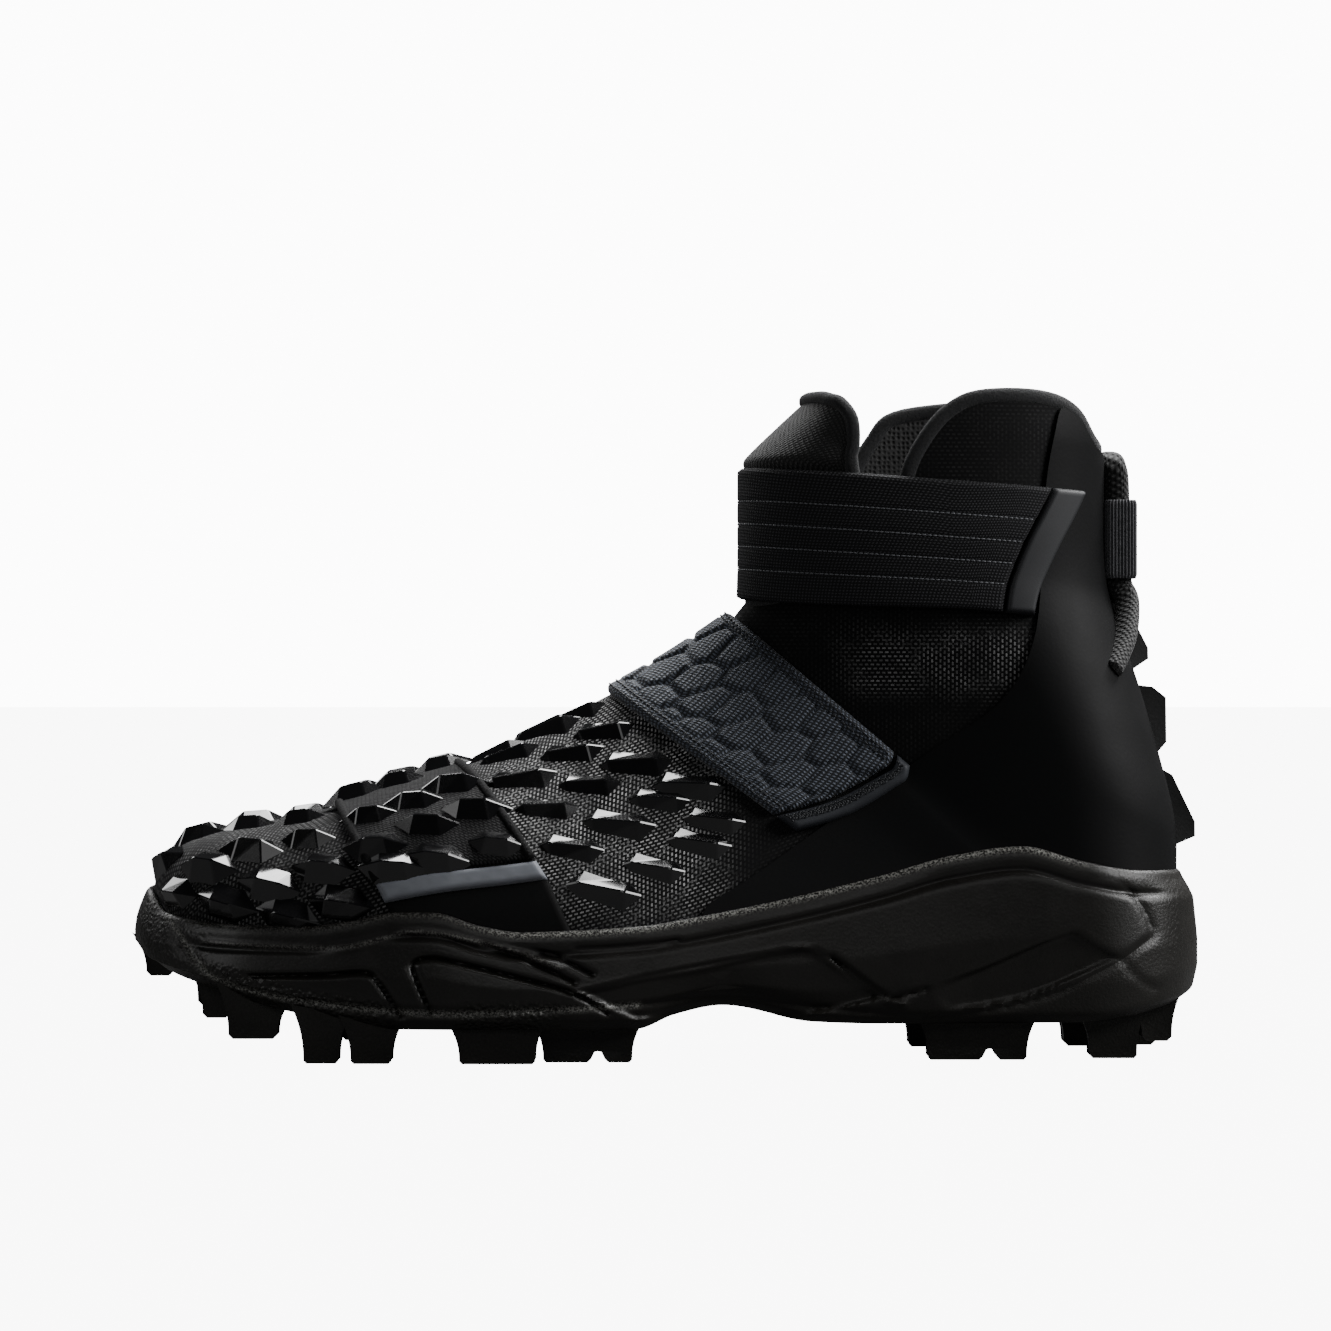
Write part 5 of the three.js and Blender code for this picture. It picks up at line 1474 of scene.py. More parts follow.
# %% Forefoot strap: its grey tape and the patch it lands on
place, turn, girth, cross, half = lay(
    **FOREFOOT_STRAP, start=(0.29, 0.304), end=(0.313 - TAPE_SLIT, 0.323 - TAPE_SLIT), rounds=18, acrosses=60
)
height = GAP + (FOREFOOT_THICKNESS + HEM_STEP) * (0.35 + 0.65 * rolled(girth, cross, half, 1.6))
strap_piece("forefoot_strap_tape", place, turn, height, UNDER, light_tape, "forefoot_strap_hem")

place, turn, girth, cross, half = lay(
    **FOREFOOT_STRAP, start=(0.2, 0.2), end=(0.33, 0.33), rounds=40, acrosses=44
)
height = GAP + 0.8 * rolled(girth, cross, half, 0.8)
# Brushed loops stand so densely that the patch is an even matte black.
patch_cloth = mottled(
    "brushed loop patch", "#050505", "#0d0d0d", 0.6, 5.0, runs=True, Roughness=0.8, Specular_IOR_Level=0.2
)
strap_piece("forefoot_landing_patch", place, turn, height, UNDER, patch_cloth, None)
print("patch", round(float(girth[-1].mean())), "mm high")

# %% Instep strap: quilted webbing
QUILT_ACROSS = 15.0
QUILT_ROUND = 8.2
QUILT_DEPTH = 1.2
WEBBING_THICKNESS = 2.6
SELVEDGE = 4.6


def quilted(girth, cross):
    """Height of embossed scales in staggered rows: 1 on a scale, 0 in the groove round it."""
    nearest = np.full(girth.shape, 1e9)
    second = np.full(girth.shape, 1e9)
    row = np.floor(girth / QUILT_ROUND)
    for i in (-1, 0, 1):
        level = row + i
        stagger = np.where(level % 2 == 0, 0.0, 0.5)
        column = np.floor(cross / QUILT_ACROSS - stagger)
        for j in (-1, 0, 1, 2):
            spot = column + j
            wobble = np.sin(spot * 12.9 + level * 78.2)
            centre_cross = (spot + stagger + 0.14 * wobble) * QUILT_ACROSS
            centre_girth = (level + 0.5 + 0.14 * np.cos(spot * 39.3 + level * 11.1)) * QUILT_ROUND
            far = np.hypot((cross - centre_cross) / QUILT_ACROSS * 1.15, (girth - centre_girth) / QUILT_ROUND)
            second = np.minimum(second, np.maximum(nearest, far))
            nearest = np.minimum(nearest, far)
    return soft((second - nearest) * 3.6)


place, turn, girth, cross, half = lay(
    **INSTEP_STRAP, start=(0.329, 0.336), end=(0.72, 0.69), rounds=230, acrosses=84
)
field = soft((half - np.abs(cross) - SELVEDGE) / 0.9)
selvedge = soft(1.2 - np.abs(half - np.abs(cross) - 2.4) / 1.6)
height = GAP + WEBBING_THICKNESS * (0.5 + 0.5 * rolled(girth, cross, half))
height = height - QUILT_DEPTH * (1 - quilted(girth, cross)) * field - 0.35 * (1 - field) + 0.25 * selvedge
strap_piece("instep_strap_band", place, turn, height, UNDER, ribbed, "instep_strap")
instep_grid = (place, turn)
print("instep strap", round(float(girth[-1].mean())), "mm long")

# %% Instep strap: its grey tape
place, turn, girth, cross, half = lay(
    **INSTEP_STRAP, start=(0.316, 0.327), end=(0.329 - TAPE_SLIT, 0.336 - TAPE_SLIT), rounds=18, acrosses=60
)
height = GAP + (WEBBING_THICKNESS + HEM_STEP) * (0.4 + 0.6 * rolled(girth, cross, half, 1.8))
strap_piece("instep_strap_tape", place, turn, height, UNDER, middle_tape, "instep_strap_hem")
instep_tape_grid = (place, turn)
print("instep tape laid")

# %% Ankle strap: woven elastic
ANKLE_SEAMS = (-0.52, -0.18, 0.16, 0.5)
place, turn, girth, cross, half = lay(
    **ANKLE_STRAP, start=(0.227, 0.147), end=(0.79, 0.83), rounds=190, acrosses=50
)
channel = np.minimum.reduce([np.abs(cross / half - seam) for seam in ANKLE_SEAMS]) * half
height = GAP + WEBBING_THICKNESS * (0.55 + 0.45 * rolled(girth, cross, half))
height = height - 0.35 * soft(1 - channel / 0.9)
strap_piece("ankle_strap_band", place, turn, height, UNDER, elastic, "ankle_strap")
ankle_grid = (place, turn)
print("ankle strap", round(float(girth[-1].mean())), "mm long")

# %% Ankle strap: its grey tape
place, turn, girth, cross, half = lay(
    **ANKLE_STRAP, start=(0.195, 0.097), end=(0.227 - TAPE_SLIT, 0.147 - TAPE_SLIT), rounds=18, acrosses=60
)
height = GAP + (WEBBING_THICKNESS + HEM_STEP) * (0.45 + 0.55 * rolled(girth, cross, half, 1.2))
strap_piece("ankle_strap_tape", place, turn, height, UNDER, dark_tape, "ankle_strap_hem")
print("straps laid")

# %% [markdown]
# ## Stitching
# Straps are sewn with a thick bonded thread: single rows along the elastic, twin rows along the webbing and
# a zigzag over the grey tape. Each seam is drawn as a line of points on the strap. Geometry Nodes makes it
# a curve, steps along it by the stitch length and sets one small bead of thread at each step.

# %% Stitch tree
stitch_tree, given, result = new_tree(
    "sew", Pitch="NodeSocketFloat", Thread="NodeSocketFloat", Filled="NodeSocketFloat",
    Finish="NodeSocketMaterial",
)
seam = node(stitch_tree, "GeometryNodeMeshToCurve", {"Mesh": given.outputs["Geometry"]})
steps = node(
    stitch_tree, "GeometryNodeResampleCurve",
    {"Curve": seam.outputs[0], "Length": given.outputs["Pitch"]},
    mode="LENGTH",
)
spots = node(stitch_tree, "GeometryNodeCurveToPoints", {"Curve": steps.outputs[0]}, mode="EVALUATED")
bead = node(stitch_tree, "GeometryNodeMeshUVSphere", {"Segments": 6, "Rings": 4, "Radius": 0.5})
long = node(
    stitch_tree, "ShaderNodeMath",
    {0: given.outputs["Pitch"], 1: given.outputs["Filled"]},
    operation="MULTIPLY",
)
bead_size = node(
    stitch_tree, "ShaderNodeCombineXYZ",
    {"X": given.outputs["Thread"], "Y": given.outputs["Thread"], "Z": long.outputs[0]},
)
sewn = node(
    stitch_tree, "GeometryNodeInstanceOnPoints",
    {"Points": spots.outputs["Points"], "Instance": bead.outputs[0],
     "Rotation": spots.outputs["Rotation"], "Scale": bead_size.outputs[0]},
)
real = node(stitch_tree, "GeometryNodeRealizeInstances", {"Geometry": sewn.outputs[0]})
shaded = node(stitch_tree, "GeometryNodeSetShadeSmooth", {"Geometry": real.outputs[0]})
dressed = node(
    stitch_tree, "GeometryNodeSetMaterial",
    {"Geometry": shaded.outputs[0], "Material": given.outputs["Finish"]},
)
stitch_tree.links.new(dressed.outputs[0], result.inputs[0])
print("stitch tree:", len(stitch_tree.nodes), "nodes")


# %% Seams drawn on the straps
def seam_piece(name, lines):
    """An object of open lines, in millimetres, ready to be sewn."""
    points, edges = [], []
    for line in lines:
        first = len(points)
        points += ((np.asarray(line) + SHIFT) * MM).tolist()
        edges += [(first + i, first + i + 1) for i in range(len(line) - 1)]
    mesh = bpy.data.meshes.new(name)
    mesh.from_pydata(points, edges, [])
    piece = bpy.data.objects.new(name, mesh)
    bpy.context.scene.collection.objects.link(piece)
    return piece


def across_line(grid, share, lift, rows=slice(2, -2)):
    """A line round the foot at one share of the strap's half width."""
    place, turn = grid
    turns = turn[rows, turn.shape[1] // 2]
    column = (share + 1) / 2 * (turn.shape[1] - 1)
    low = int(column)
    part = column - low
    high = min(low + 1, turn.shape[1] - 1)
    here = place[rows, low] * (1 - part) + place[rows, high] * part
    turned = turn[rows, low] * (1 - part) + turn[rows, high] * part
    return over(here, turned, 0 * turns + lift)


ankle_seams = [across_line(ankle_grid, share, GAP + 2.4) for share in ANKLE_SEAMS]
instep_seams = [across_line(instep_grid, share, GAP + 2.55) for share in (-0.94, -0.84, 0.82, 0.93)]
place, turn = instep_tape_grid
columns = np.linspace(2, place.shape[1] - 3, 54).astype(int)
zigzag_lift = np.full(len(columns), GAP + WEBBING_THICKNESS + HEM_STEP + 0.05)
zigzag = []
for phase in (0, 1):
    rows_used = np.where((np.arange(len(columns)) + phase) % 2 == 0, 8, 14)
    zigzag.append(over(place[rows_used, columns], turn[rows_used, columns], zigzag_lift))
print("seams:", len(ankle_seams) + len(instep_seams) + len(zigzag))

# %% Sewing them
for name, lines, pitch, width, filled, yarn, slot in (
    ("ankle_strap_stitches", ankle_seams, 1.5, 0.5, 0.95, thread, "elastic_webbing"),
    ("instep_strap_stitches", instep_seams, 1.7, 0.6, 0.9, dark_thread, "ribbed_webbing"),
    ("instep_tape_stitches", zigzag, 1.1, 0.6, 1.0, dark_thread, "grey_tape"),
):
    sewing = grown(
        seam_piece(name, lines), stitch_tree, Pitch=pitch * MM, Thread=width * MM, Filled=filled, Finish=yarn
    )
    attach(sewing, "root")
    print(name, len(sewing.data.polygons), "faces")

# %% [markdown]
# ## The sole
# The sole is moulded in two parts: a foam carrier with a raised rim, and a rubber plate that wraps up over
# the toe and the heel. Both come from one closed form. It is made of columns that fan round the toe and the
# heel, each with the same list of heights from the bed over the rim down to the plate. Lines and panels of
# the side are pressed in or raised by their distance from a drawn line. The form is then cut in two along
# the parting line, and each part gets a wall.

# %% Profiles of the sole
RIM = curve(
    [0, 0.02, 0.037, 0.102, 0.167, 0.213, 0.254, 0.286, 0.331, 0.368, 0.404,
     0.477, 0.531, 0.623, 0.697, 0.761, 0.825, 0.88, 0.93, 1],
    [0.262, 0.25, 0.22, 0.205, 0.204, 0.213, 0.226, 0.226, 0.206, 0.197, 0.199,
     0.206, 0.22, 0.25, 0.279, 0.308, 0.322, 0.3, 0.285, 0.281],
)
PLATE = curve(
    [0, 0.014, 0.038, 0.077, 0.156, 0.265, 0.472, 0.505, 0.55, 0.634, 0.703, 0.881, 0.961, 1],
    [0.17, 0.159, 0.133, 0.112, 0.076, 0.052, 0.052, 0.071, 0.084, 0.06, 0.057, 0.058, 0.081, 0.115],
)
FLARE = curve([0, 0.15, 0.33, 0.5, 0.6, 0.75, 0.9, 1], [1.05, 1, 1.1, 0.8, 0.75, 0.9, 1.05, 1.55])
TUCK = curve([0, 0.42, 0.55, 0.68, 1], [0, 0, 1, 0, 0])
RIM_WIDTH = 2.0
SIDE_FLARE = 5.0
ARCH_TUCK = 6.0
EDGE_ROUND = 5.0
GROOVE_DROP = 6.5


def rim(x):
    return up(RIM(share_of(x)))


def plate(x):
    return up(PLATE(share_of(x)))


def reach_of(x, y, dx, dy, z):
    """Distance from points inside the form to its skin, level, each in its own direction."""
    low, high = np.zeros(len(x)), np.full(len(x), float(LENGTH))
    for _ in range(24):
        middle = (low + high) / 2
        held, _, _ = inside(x + dx * middle, y + dy * middle, z)
        low, high = np.where(held, middle, low), np.where(held, high, middle)
    return low


# %% Columns round the sole and the heights in each
TOE_HUB = 0.14
HEEL_HUB = 0.87
SPINE = 0.03 * BALL_WIDTH
FAN = 42
SIDE = 260
quarter_turn = np.linspace(0, np.pi / 2, FAN + 1)
side_x = along(np.linspace(TOE_HUB, HEEL_HUB, SIDE + 1)[1:-1])
hub_x = np.concatenate([np.full(FAN + 1, along(TOE_HUB)), side_x, np.full(FAN + 1, along(HEEL_HUB))])
dir_x = np.concatenate([-np.cos(quarter_turn), 0 * side_x, np.sin(quarter_turn)])
dir_y = np.concatenate([np.sin(quarter_turn), 0 * side_x + 1, np.cos(quarter_turn)])
hub_x = np.concatenate([hub_x, hub_x[-2:0:-1]])
dir_x = np.concatenate([dir_x, dir_x[-2:0:-1]])
dir_y = np.concatenate([-dir_y, dir_y[-2:0:-1]])
hub_y = 2 * SPINE * (1 - np.clip(share_of(hub_x), 0, 1))


def reach(z):
    return reach_of(hub_x, hub_y, dir_x, dir_y, z)


body_x = hub_x + dir_x * reach(footbed(hub_x) + 12)
share = share_of(body_x)
top, bottom, bed = rim(body_x), plate(body_x), footbed(body_x)
lip = reach(top) + GAP + RIM_WIDTH
wide = np.maximum(reach(bed + 12), lip - RIM_WIDTH - GAP)
body = wide + GAP + SIDE_FLARE * FLARE(share)
groove = top - GROOVE_DROP
wall = reach(groove) + GAP + 0.6 * RIM_WIDTH
tuck = ARCH_TUCK * TUCK(share)
wrapped_up = np.maximum(soft((0.085 - share) / 0.04), soft((share - 0.93) / 0.03))


def blended(out, part):
    """The groove under the rim fades where the plate wraps up over toe and heel."""
    return out + (lip + (body - lip) * part + 0.8 - out) * wrapped_up


stack = [
    (lip - RIM_WIDTH, top - 0.4), (lip - 0.55 * RIM_WIDTH, top + 0.15), (lip, top - 0.8),
    (lip + 0.7, top - 2.4),
    (blended(np.maximum(lip, wall) + 1, 0.3), groove + 1.5), (blended(np.maximum(lip, wall), 0.45), groove),
    (blended(np.maximum.reduce([lip + 1, wall + 1, (lip + body) / 2]), 0.6), groove - 1.5),
    (body, groove + (bottom - groove) * 0.45), (body - 0.2 * tuck, groove + (bottom - groove) * 0.7),
    (body - 0.3 * EDGE_ROUND - 0.6 * tuck, bottom + 0.5 * EDGE_ROUND), (body - EDGE_ROUND - tuck, bottom),
]
STEPS = [3, 4, 4, 5, 4, 4, 20, 16, 10, 5]
outs, heights = [stack[0][0]], [stack[0][1]]
for (out_a, z_a), (out_b, z_b), count in zip(stack[:-1], stack[1:], STEPS):
    for i in range(1, count + 1):
        outs.append(out_a + (out_b - out_a) * i / count)
        heights.append(z_a + (z_b - z_a) * i / count)
outs, heights = np.array(outs), np.array(heights)
for _ in range(2):
    outs[1:-1] = (outs[:-2] + 2 * outs[1:-1] + outs[2:]) / 4
    heights[1:-1] = (heights[:-2] + 2 * heights[1:-1] + heights[2:]) / 4
print("sole columns", len(hub_x), "rows", len(outs))

# %% Lines and panels of the sole's side, in pixels of the photograph
SIDE_DEPTH = 45  # millimetres from the middle of the shoe to the side of its sole
SIDE_PIXEL = PIXEL * (CAMERA_DISTANCE - SIDE_DEPTH) / CAMERA_DISTANCE


def drawn(pixels):
    """Pixels of the photograph as x and z on the side of the sole."""
    pixels = np.array(pixels, float)
    return np.column_stack([
        (pixels[:, 0] - MIDDLE) * SIDE_PIXEL - SHIFT[0],
        CAMERA_HEIGHT + (MIDDLE - pixels[:, 1]) * SIDE_PIXEL,
    ])


RAISED = [
    # line, height, half width
    ([(200, 944), (259, 947), (336, 948), (368, 942), (397, 934), (419, 931),
      (468, 938), (520, 952), (560, 966)], 0.6, 0.9),
    ([(574, 992), (640, 978), (700, 968), (780, 952), (812, 951), (838, 967),
      (880, 998), (905, 1005)], 0.7, 0.9),
]
PRESSED = [
    ([(484, 943), (530, 960), (574, 981)], 0.9, 0.7),
    ([(513, 941), (555, 955), (592, 973)], 0.9, 0.7),
    ([(577, 947), (620, 945), (677, 940)], 0.7, 0.8),
    ([(249, 977), (323, 975), (366, 972), (380, 982), (403, 1017)], 1.0, 0.7),
    ([(432, 1012), (416, 974), (414, 962), (430, 957), (452, 960), (529, 979), (574, 992),
      (608, 1012)], 1.0, 0.7),
    ([(1126, 962), (1140, 979), (1160, 992)], 0.35, 0.9),
    ([(832, 957), (859, 983), (884, 1000), (928, 991)], 0.5, 0.7),
]
ARCH_PANEL = sideways([
    [0.42, 0.112], [0.48, 0.134], [0.535, 0.15], [0.607, 0.171], [0.635, 0.171], [0.66, 0.15],
    [0.7, 0.1], [0.62, 0.07], [0.47, 0.07],
])
HEEL_PANEL = drawn([
    (928, 990), (985, 970), (1045, 944), (1076, 933), (1087, 941), (1107, 953), (1120, 959), (1089, 973), (1055, 987),
    (1020, 999), (980, 1007), (950, 1009),
])
PANEL_DEPTH = 1.2
TOE_PARTING = sideways([
    [0.029, 0.3], [0.03, 0.24], [0.042, 0.207], [0.066, 0.155], [0.09, 0.122], [0.167, 0.094], [0.286, 0.078],
    [0.404, 0.084], [0.477, 0.09], [0.55, 0.1], [0.62, 0.085],
])
HEEL_PARTING = drawn([
    (880, 1015), (923, 1020), (970, 1016), (1020, 1006), (1062, 993), (1095, 977), (1122, 963), (1142, 950), (1158, 937),
    (1152, 917), (1141, 900), (1127, 883), (1112, 866), (1100, 850),
])
parting = smooth_line(np.vstack([TOE_PARTING, HEEL_PARTING]), 300)
high = up(0.5)
outsole_outline = np.vstack([
    parting,
    [[parting[-1, 0], high], [along(1.2), high], [along(1.2), -20]],
    [[along(-0.2), -20], [along(-0.2), high], [parting[0, 0], high]],
])


def side_relief(x, z):
    """How far the side stands out, in millimetres."""
    relief = np.zeros(x.shape)
    for line, height, half in RAISED:
        relief += 1.3 * height * np.exp(-((near(smooth_line(drawn(line), 30), x, z) / half) ** 2))
    for line, depth, half in PRESSED:
        relief -= 1.6 * depth * np.exp(-((near(smooth_line(drawn(line), 30), x, z) / half) ** 2))
    relief -= 1.3 * PANEL_DEPTH * soft(0.5 + beside(ARCH_PANEL, x, z) / 1.6)
    heel_panel = soft(0.5 + beside(HEEL_PANEL, x, z) / 1.6) * soft((x - HEEL_PANEL[0, 0]) / 14)
    relief -= 1.3 * PANEL_DEPTH * heel_panel
    return relief - 0.8 * np.exp(-((near(parting, x, z) / 0.95) ** 2))


x = hub_x + dir_x * outs
fade = soft((np.arange(len(outs))[:, None] - 12) / 6) * np.ones_like(x)
outs = outs + side_relief(x, heights) * fade

# %% The closed form of the sole
levels = [bed + (top - bed) * k for k in (0.0, 0.2, 0.4, 0.6, 0.8)]
inner_outs = [reach(level) + GAP for level in levels]
bed_shares = np.linspace(0, 1, 9)[:-1]
plate_shares = np.linspace(1, 0, 11)[1:]


def ring(out, z=None, level=None):
    px, py = hub_x + dir_x * out, hub_y + dir_y * out
    return np.stack([px, py, z if level is None else level(px)], -1)


rings = [ring(inner_outs[0] * k, level=footbed) for k in bed_shares]
rings += [ring(out, level) for out, level in zip(inner_outs, levels)]
rings += [ring(out, z) for out, z in zip(outs, heights)]
rings += [ring(outs[-1] * k, level=plate) for k in plate_shares]
points = np.array(rings)
turns = np.broadcast_to(np.linspace(0, 1, points.shape[1], endpoint=False), points.shape[:2])
rows, faces = net_of(points, turns, wrapped=True)
faces = shut(rows, faces)


def pebble_of(points):
    """Where the rubber is pebbled: the toe bumper and the low bumpers of the forefoot."""
    share, z = share_of(points[:, 0]), points[:, 2]
    front = soft((share - 0.07) / 0.03) * soft((0.26 - share) / 0.02)
    bumpers = front + soft((share - 0.3) / 0.02) * soft((0.41 - share) / 0.02)
    low = soft((plate(points[:, 0]) + 9 - z) / 3)
    toe = 0.25 * soft((0.09 - share) / 0.02)
    heel = 0.2 * soft((share - 0.955) / 0.015)
    return np.clip(bumpers * low + toe + heel, 0, 1)


def edge_highlight_of(points):
    """Where a pale highlight is painted on the rubber's grain: the rim's top edge, the bead under it, the toe
    parting.
    """
    x, z = points[:, 0], points[:, 2]
    share = share_of(x)
    along_rim = (0.25 + 0.75 * soft((share - 0.3) / 0.08)) * soft((0.9 - share) / 0.05)
    rim_top_highlight = np.exp(-(((rim(x) - 0.7 - z) / 0.9) ** 2)) * along_rim
    bead = np.exp(-((near(smooth_line(drawn(RAISED[0][0]), 60), x, z) / 0.6) ** 2))
    toe_parting_highlight = 0.8 * np.exp(-((near(parting[:100], x, z) / 0.8) ** 2))
    return np.clip(rim_top_highlight + 0.35 * bead + toe_parting_highlight, 0, 1)


# The pebble mark sets where the rubber is pebbled, and the edge mark sets where its painted highlight lies
rows = np.column_stack([rows, pebble_of(rows), edge_highlight_of(rows)])
region = beside(outsole_outline, rows[:, 0], rows[:, 2])


def weld(made, distance=0.01):
    """Merges points that lie on each other and drops what that leaves empty."""
    built = bmesh.new()
    built.from_mesh(made.data)
    bmesh.ops.remove_doubles(built, verts=list(built.verts), dist=distance * MM)
    built.to_mesh(made.data)
    built.free()
    return made


for name, value, material, slot, replaced in (
    ("outsole_plate", region, outsole_rubber, "sole_rubber", "outsole"),
    ("midsole_carrier", -region, midsole_foam, "midsole_foam", "midsole"),
):
    part_rows, part_faces = trim(rows, faces, value)
    piece = make(name, part_rows, part_faces, material, marks=("pebble", "edge"))
    weld(piece)
    thicken(piece, 1.2)
    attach(piece, "root")
    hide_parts(replaced)
    print(name, len(piece.data.polygons), "faces")

# %% [markdown]
# ## Studs
# The studs are moulded with the plate: long blades that flare into it and end in a flat foot, some with a
# notch. Each is drawn as a side outline, spread across the sole with a slight taper, and its edges are
# rounded by a bevel. The outer row and the toe stud follow the photograph. The inner row is hidden there
# and follows the outer one.

# %% Stud tables and blades
OUTER_STUDS = [
    # at, across, length, width, foot, notch
    [0.084, -0.25, 0.07, 0.09, 1.11, 0], [0.12, -0.33, 0.13, 0.11, 0.62, 0], [0.184, -0.4, 0.09, 0.13, 0, 0],
    [0.23, -0.41, 0.106, 0.14, 0, 0], [0.345, -0.42, 0.205, 0.14, 0, 0], [0.427, -0.36, 0.242, 0.13, 0, 0.62],
    [0.785, -0.26, 0.272, 0.14, 0, 0.63], [0.912, -0.2, 0.125, 0.14, 0, 0], [0.955, -0.12, 0.076, 0.12, 0.43, 0],
]
INNER_STUDS = [
    [0.084, 0.3, 0.07, 0.09, 1.11, 0], [0.12, 0.37, 0.13, 0.11, 0.62, 0], [0.184, 0.4, 0.09, 0.13, 0, 0],
    [0.23, 0.4, 0.106, 0.14, 0, 0], [0.345, 0.38, 0.172, 0.14, 0, 0], [0.427, 0.3, 0.222, 0.13, 0, 0.5],
    [0.762, 0.24, 0.272, 0.14, 0, 0.6], [0.878, 0.22, 0.115, 0.14, 0.07, 0], [0.922, 0.16, 0.11, 0.13, 0.14, 0],
]
CENTRE_STUDS = [
    [0.024, 0.06, 0.07, 0.24, 2.07, 0], [0.215, 0, 0.12, 0.12, 0.37, 0], [0.32, 0.02, 0.12, 0.12, 0.37, 0],
]
MEDIAL_SPREAD = 1.05  # the inner studs stand this much further apart than the outer ones
ROOT_FLARE = 3.2
STUD_SINK = 2
STUD_TAPER = 0.82
NOTCH_DEPTH = 3.6
NOTCH = [(-1, 0), (-0.62, 0.35), (-0.34, 0.92), (0, 1), (0.34, 0.92), (0.62, 0.35), (1, 0)]


print("studs in the tables:", len(OUTER_STUDS) + len(INNER_STUDS) + len(CENTRE_STUDS))


# %% One blade, and all of them with rounded edges
def stud_blade(at, across, length, width, foot, notch, spread):
    x, y = along(0.5 + (at - 0.5) * spread), across * BALL_WIDTH
    foot, length, width = foot * STUD_HEIGHT, length * BALL_WIDTH, width * BALL_WIDTH
    half = length / 2

    def flank(side):
        root = plate(x + side * (half + ROOT_FLARE)) + STUD_SINK
        line = []
        for drop in np.linspace(0, 1, 7):
            flare = ROOT_FLARE * (1 - drop) ** 2.2
            line.append((x + side * (half + flare), root + (foot + 1 - root) * drop))
        return line + [(x + side * (half - 1), foot)]

    left, right = flank(-1), flank(1)[::-1]
    middle = []
    if notch:
        centre = x - half + length * notch
        for share, rise in NOTCH:
            middle.append((centre + share * NOTCH_DEPTH, foot + rise * NOTCH_DEPTH))
    outline = np.array(left + middle + right)
    root = max(left[0][1], right[-1][1])
    widths = width / 2 * (STUD_TAPER + (1 - STUD_TAPER) * (outline[:, 1] - foot) / (root - foot))
    return slab(outline, widths, y)


blades = [stud_blade(*row, 1) for row in OUTER_STUDS + CENTRE_STUDS]
blades += [stud_blade(*row, MEDIAL_SPREAD) for row in INNER_STUDS]
rows, faces = join_rows(blades)
studs = make("studs", rows, faces, outsole_rubber)
rounded(studs, 0.9, 3, limit_method="ANGLE", angle_limit=math.radians(32))
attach(studs, "root")
print("studs", len(blades))

# %% [markdown]
# ## Pull loop, its sleeve and the heel fins
# A knitted cord stands behind the heel to pull the shoe on. It is swept along a smooth curve down both
# sides of the heel. A ribbed elastic sleeve gathers its two legs. Below it, three rubber fins run down the
# back of the heel.

# %% Loop
LOOP_ROWS = [
    [0.915, 0.905, 0], [0.919, 0.895, 0.055], [0.9215, 0.86, 0.062], [0.923, 0.73, 0.062], [0.93, 0.69, 0.1],
    [0.925, 0.635, 0.21], [0.91, 0.585, 0.33],
]


def loop_point(row, side):
    share, height, across = row
    return [along(share), side * across * HEEL_WIDTH, up(height)]


stops = [loop_point(row, -1) for row in LOOP_ROWS[:0:-1]] + [loop_point(row, 1) for row in LOOP_ROWS]
path = smooth_line(stops, 220)
hint = unit(np.column_stack([np.ones(len(path)), path[:, 1] / 20, np.zeros(len(path))]))
LOOP_THICK = 2.9
LOOP_HALF = 3.5
rows, faces = sweep(path, LOOP_THICK, LOOP_HALF, sides=28, hint=hint, power=2.8)
loop = make("pull_loop_cord", rows, faces, tongue_knit)
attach(loop, "root")
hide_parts("pull_loop")
print("loop", round(float(np.linalg.norm(np.diff(path, axis=0), axis=1).sum())), "mm long")

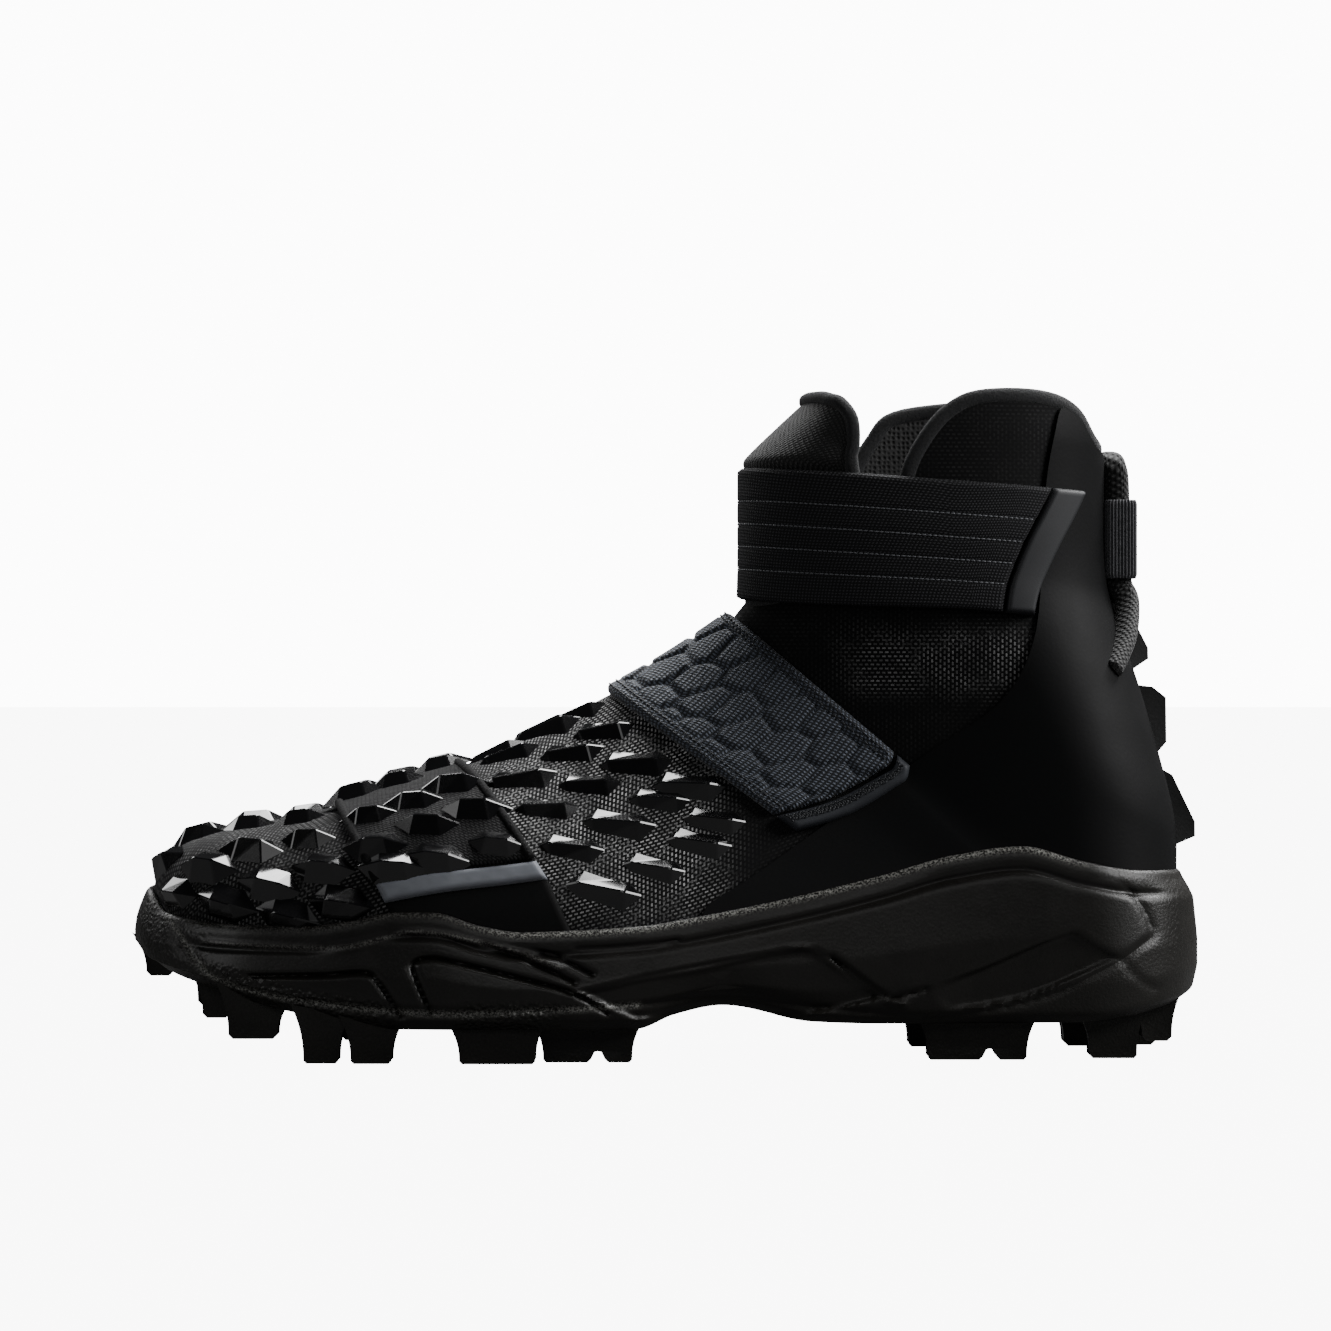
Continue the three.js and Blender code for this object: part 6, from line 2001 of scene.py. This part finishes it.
# %% Sleeve round its two legs
levels = np.linspace(up(0.725), up(0.845), 40)
middle_x = (along(0.9085) + along(0.9405)) / 2
path = np.column_stack([np.full(40, middle_x), np.zeros(40), levels])
ends = np.clip(np.minimum(np.arange(40), np.arange(40)[::-1]) / 2, 0, 1)
rows, faces = sweep(
    path, 8.7 + 0.3 * ends, 4.5 + 0.35 * ends, sides=320, hint=(1, 0, 0), power=5, flutes=52, depth=0.06
)
# Ribbed elastic is a matte grey whose ribs stand out as fine upright lines.
sleeve_cloth = mottled(
    "grey ribbed elastic", "#1c1c1e", "#6a6a6e", 1.5, 4.0, runs=True, Roughness=0.75, Sheen_Weight=0.2
)
sleeve = make("pull_loop_sleeve", rows, faces, sleeve_cloth)
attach(sleeve, "root")
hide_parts("pull_loop_wrap")
print("sleeve ribs: 52")

# %% Fins
FINS = [
    ([[0.885, 0.62], [0.917, 0.682], [0.93, 0.672], [0.946, 0.618],
      [0.946, 0.606], [0.933, 0.592], [0.9, 0.59]], 4),
    ([[0.9, 0.5], [0.925, 0.559], [0.953, 0.553], [0.963, 0.54],
      [0.963, 0.478], [0.955, 0.463], [0.92, 0.46]], 12),
    ([[0.92, 0.36], [0.945, 0.443], [0.97, 0.42], [0.99, 0.352],
      [0.99, 0.336], [0.974, 0.325], [0.94, 0.325]], 12),
]
FIN_WIDTH = 18
for number, (outline, width_top) in enumerate(FINS, 1):
    line = sideways(outline)
    share = (line[:, 1] - line[:, 1].min()) / np.ptp(line[:, 1])
    narrowing = 1.3 - (share_of(line[:, 0]) - 0.8) / 0.3
    halves = (FIN_WIDTH / 2 + (width_top - FIN_WIDTH) / 2 * share) * narrowing
    rows, faces = slab(line, halves)
    fin = make(f"heel_fin_{number}_rubber", rows, faces, fin_rubber)
    rounded(fin, 1.3, 4)
    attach(fin, "root")
    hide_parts(f"heel_fin_{number}")

# %% [markdown]
# ## Footbed
# The flat footbed inside keeps its CAD shape. Its top cloth is a brushed weave, small enough that only its
# soft sheen shows through the collar.

# %% Footbed cloth
# A brushed weave is matte with a soft sheen, which is all that shows of it down the collar.
sock_cloth = mottled(
    "brushed sock cloth", "#151413", "#262524", 1.2, 5.0, fuzz=0.2, Roughness=0.9, Sheen_Weight=0.3
)
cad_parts["insole"].data.materials.clear()
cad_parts["insole"].data.materials.append(sock_cloth)
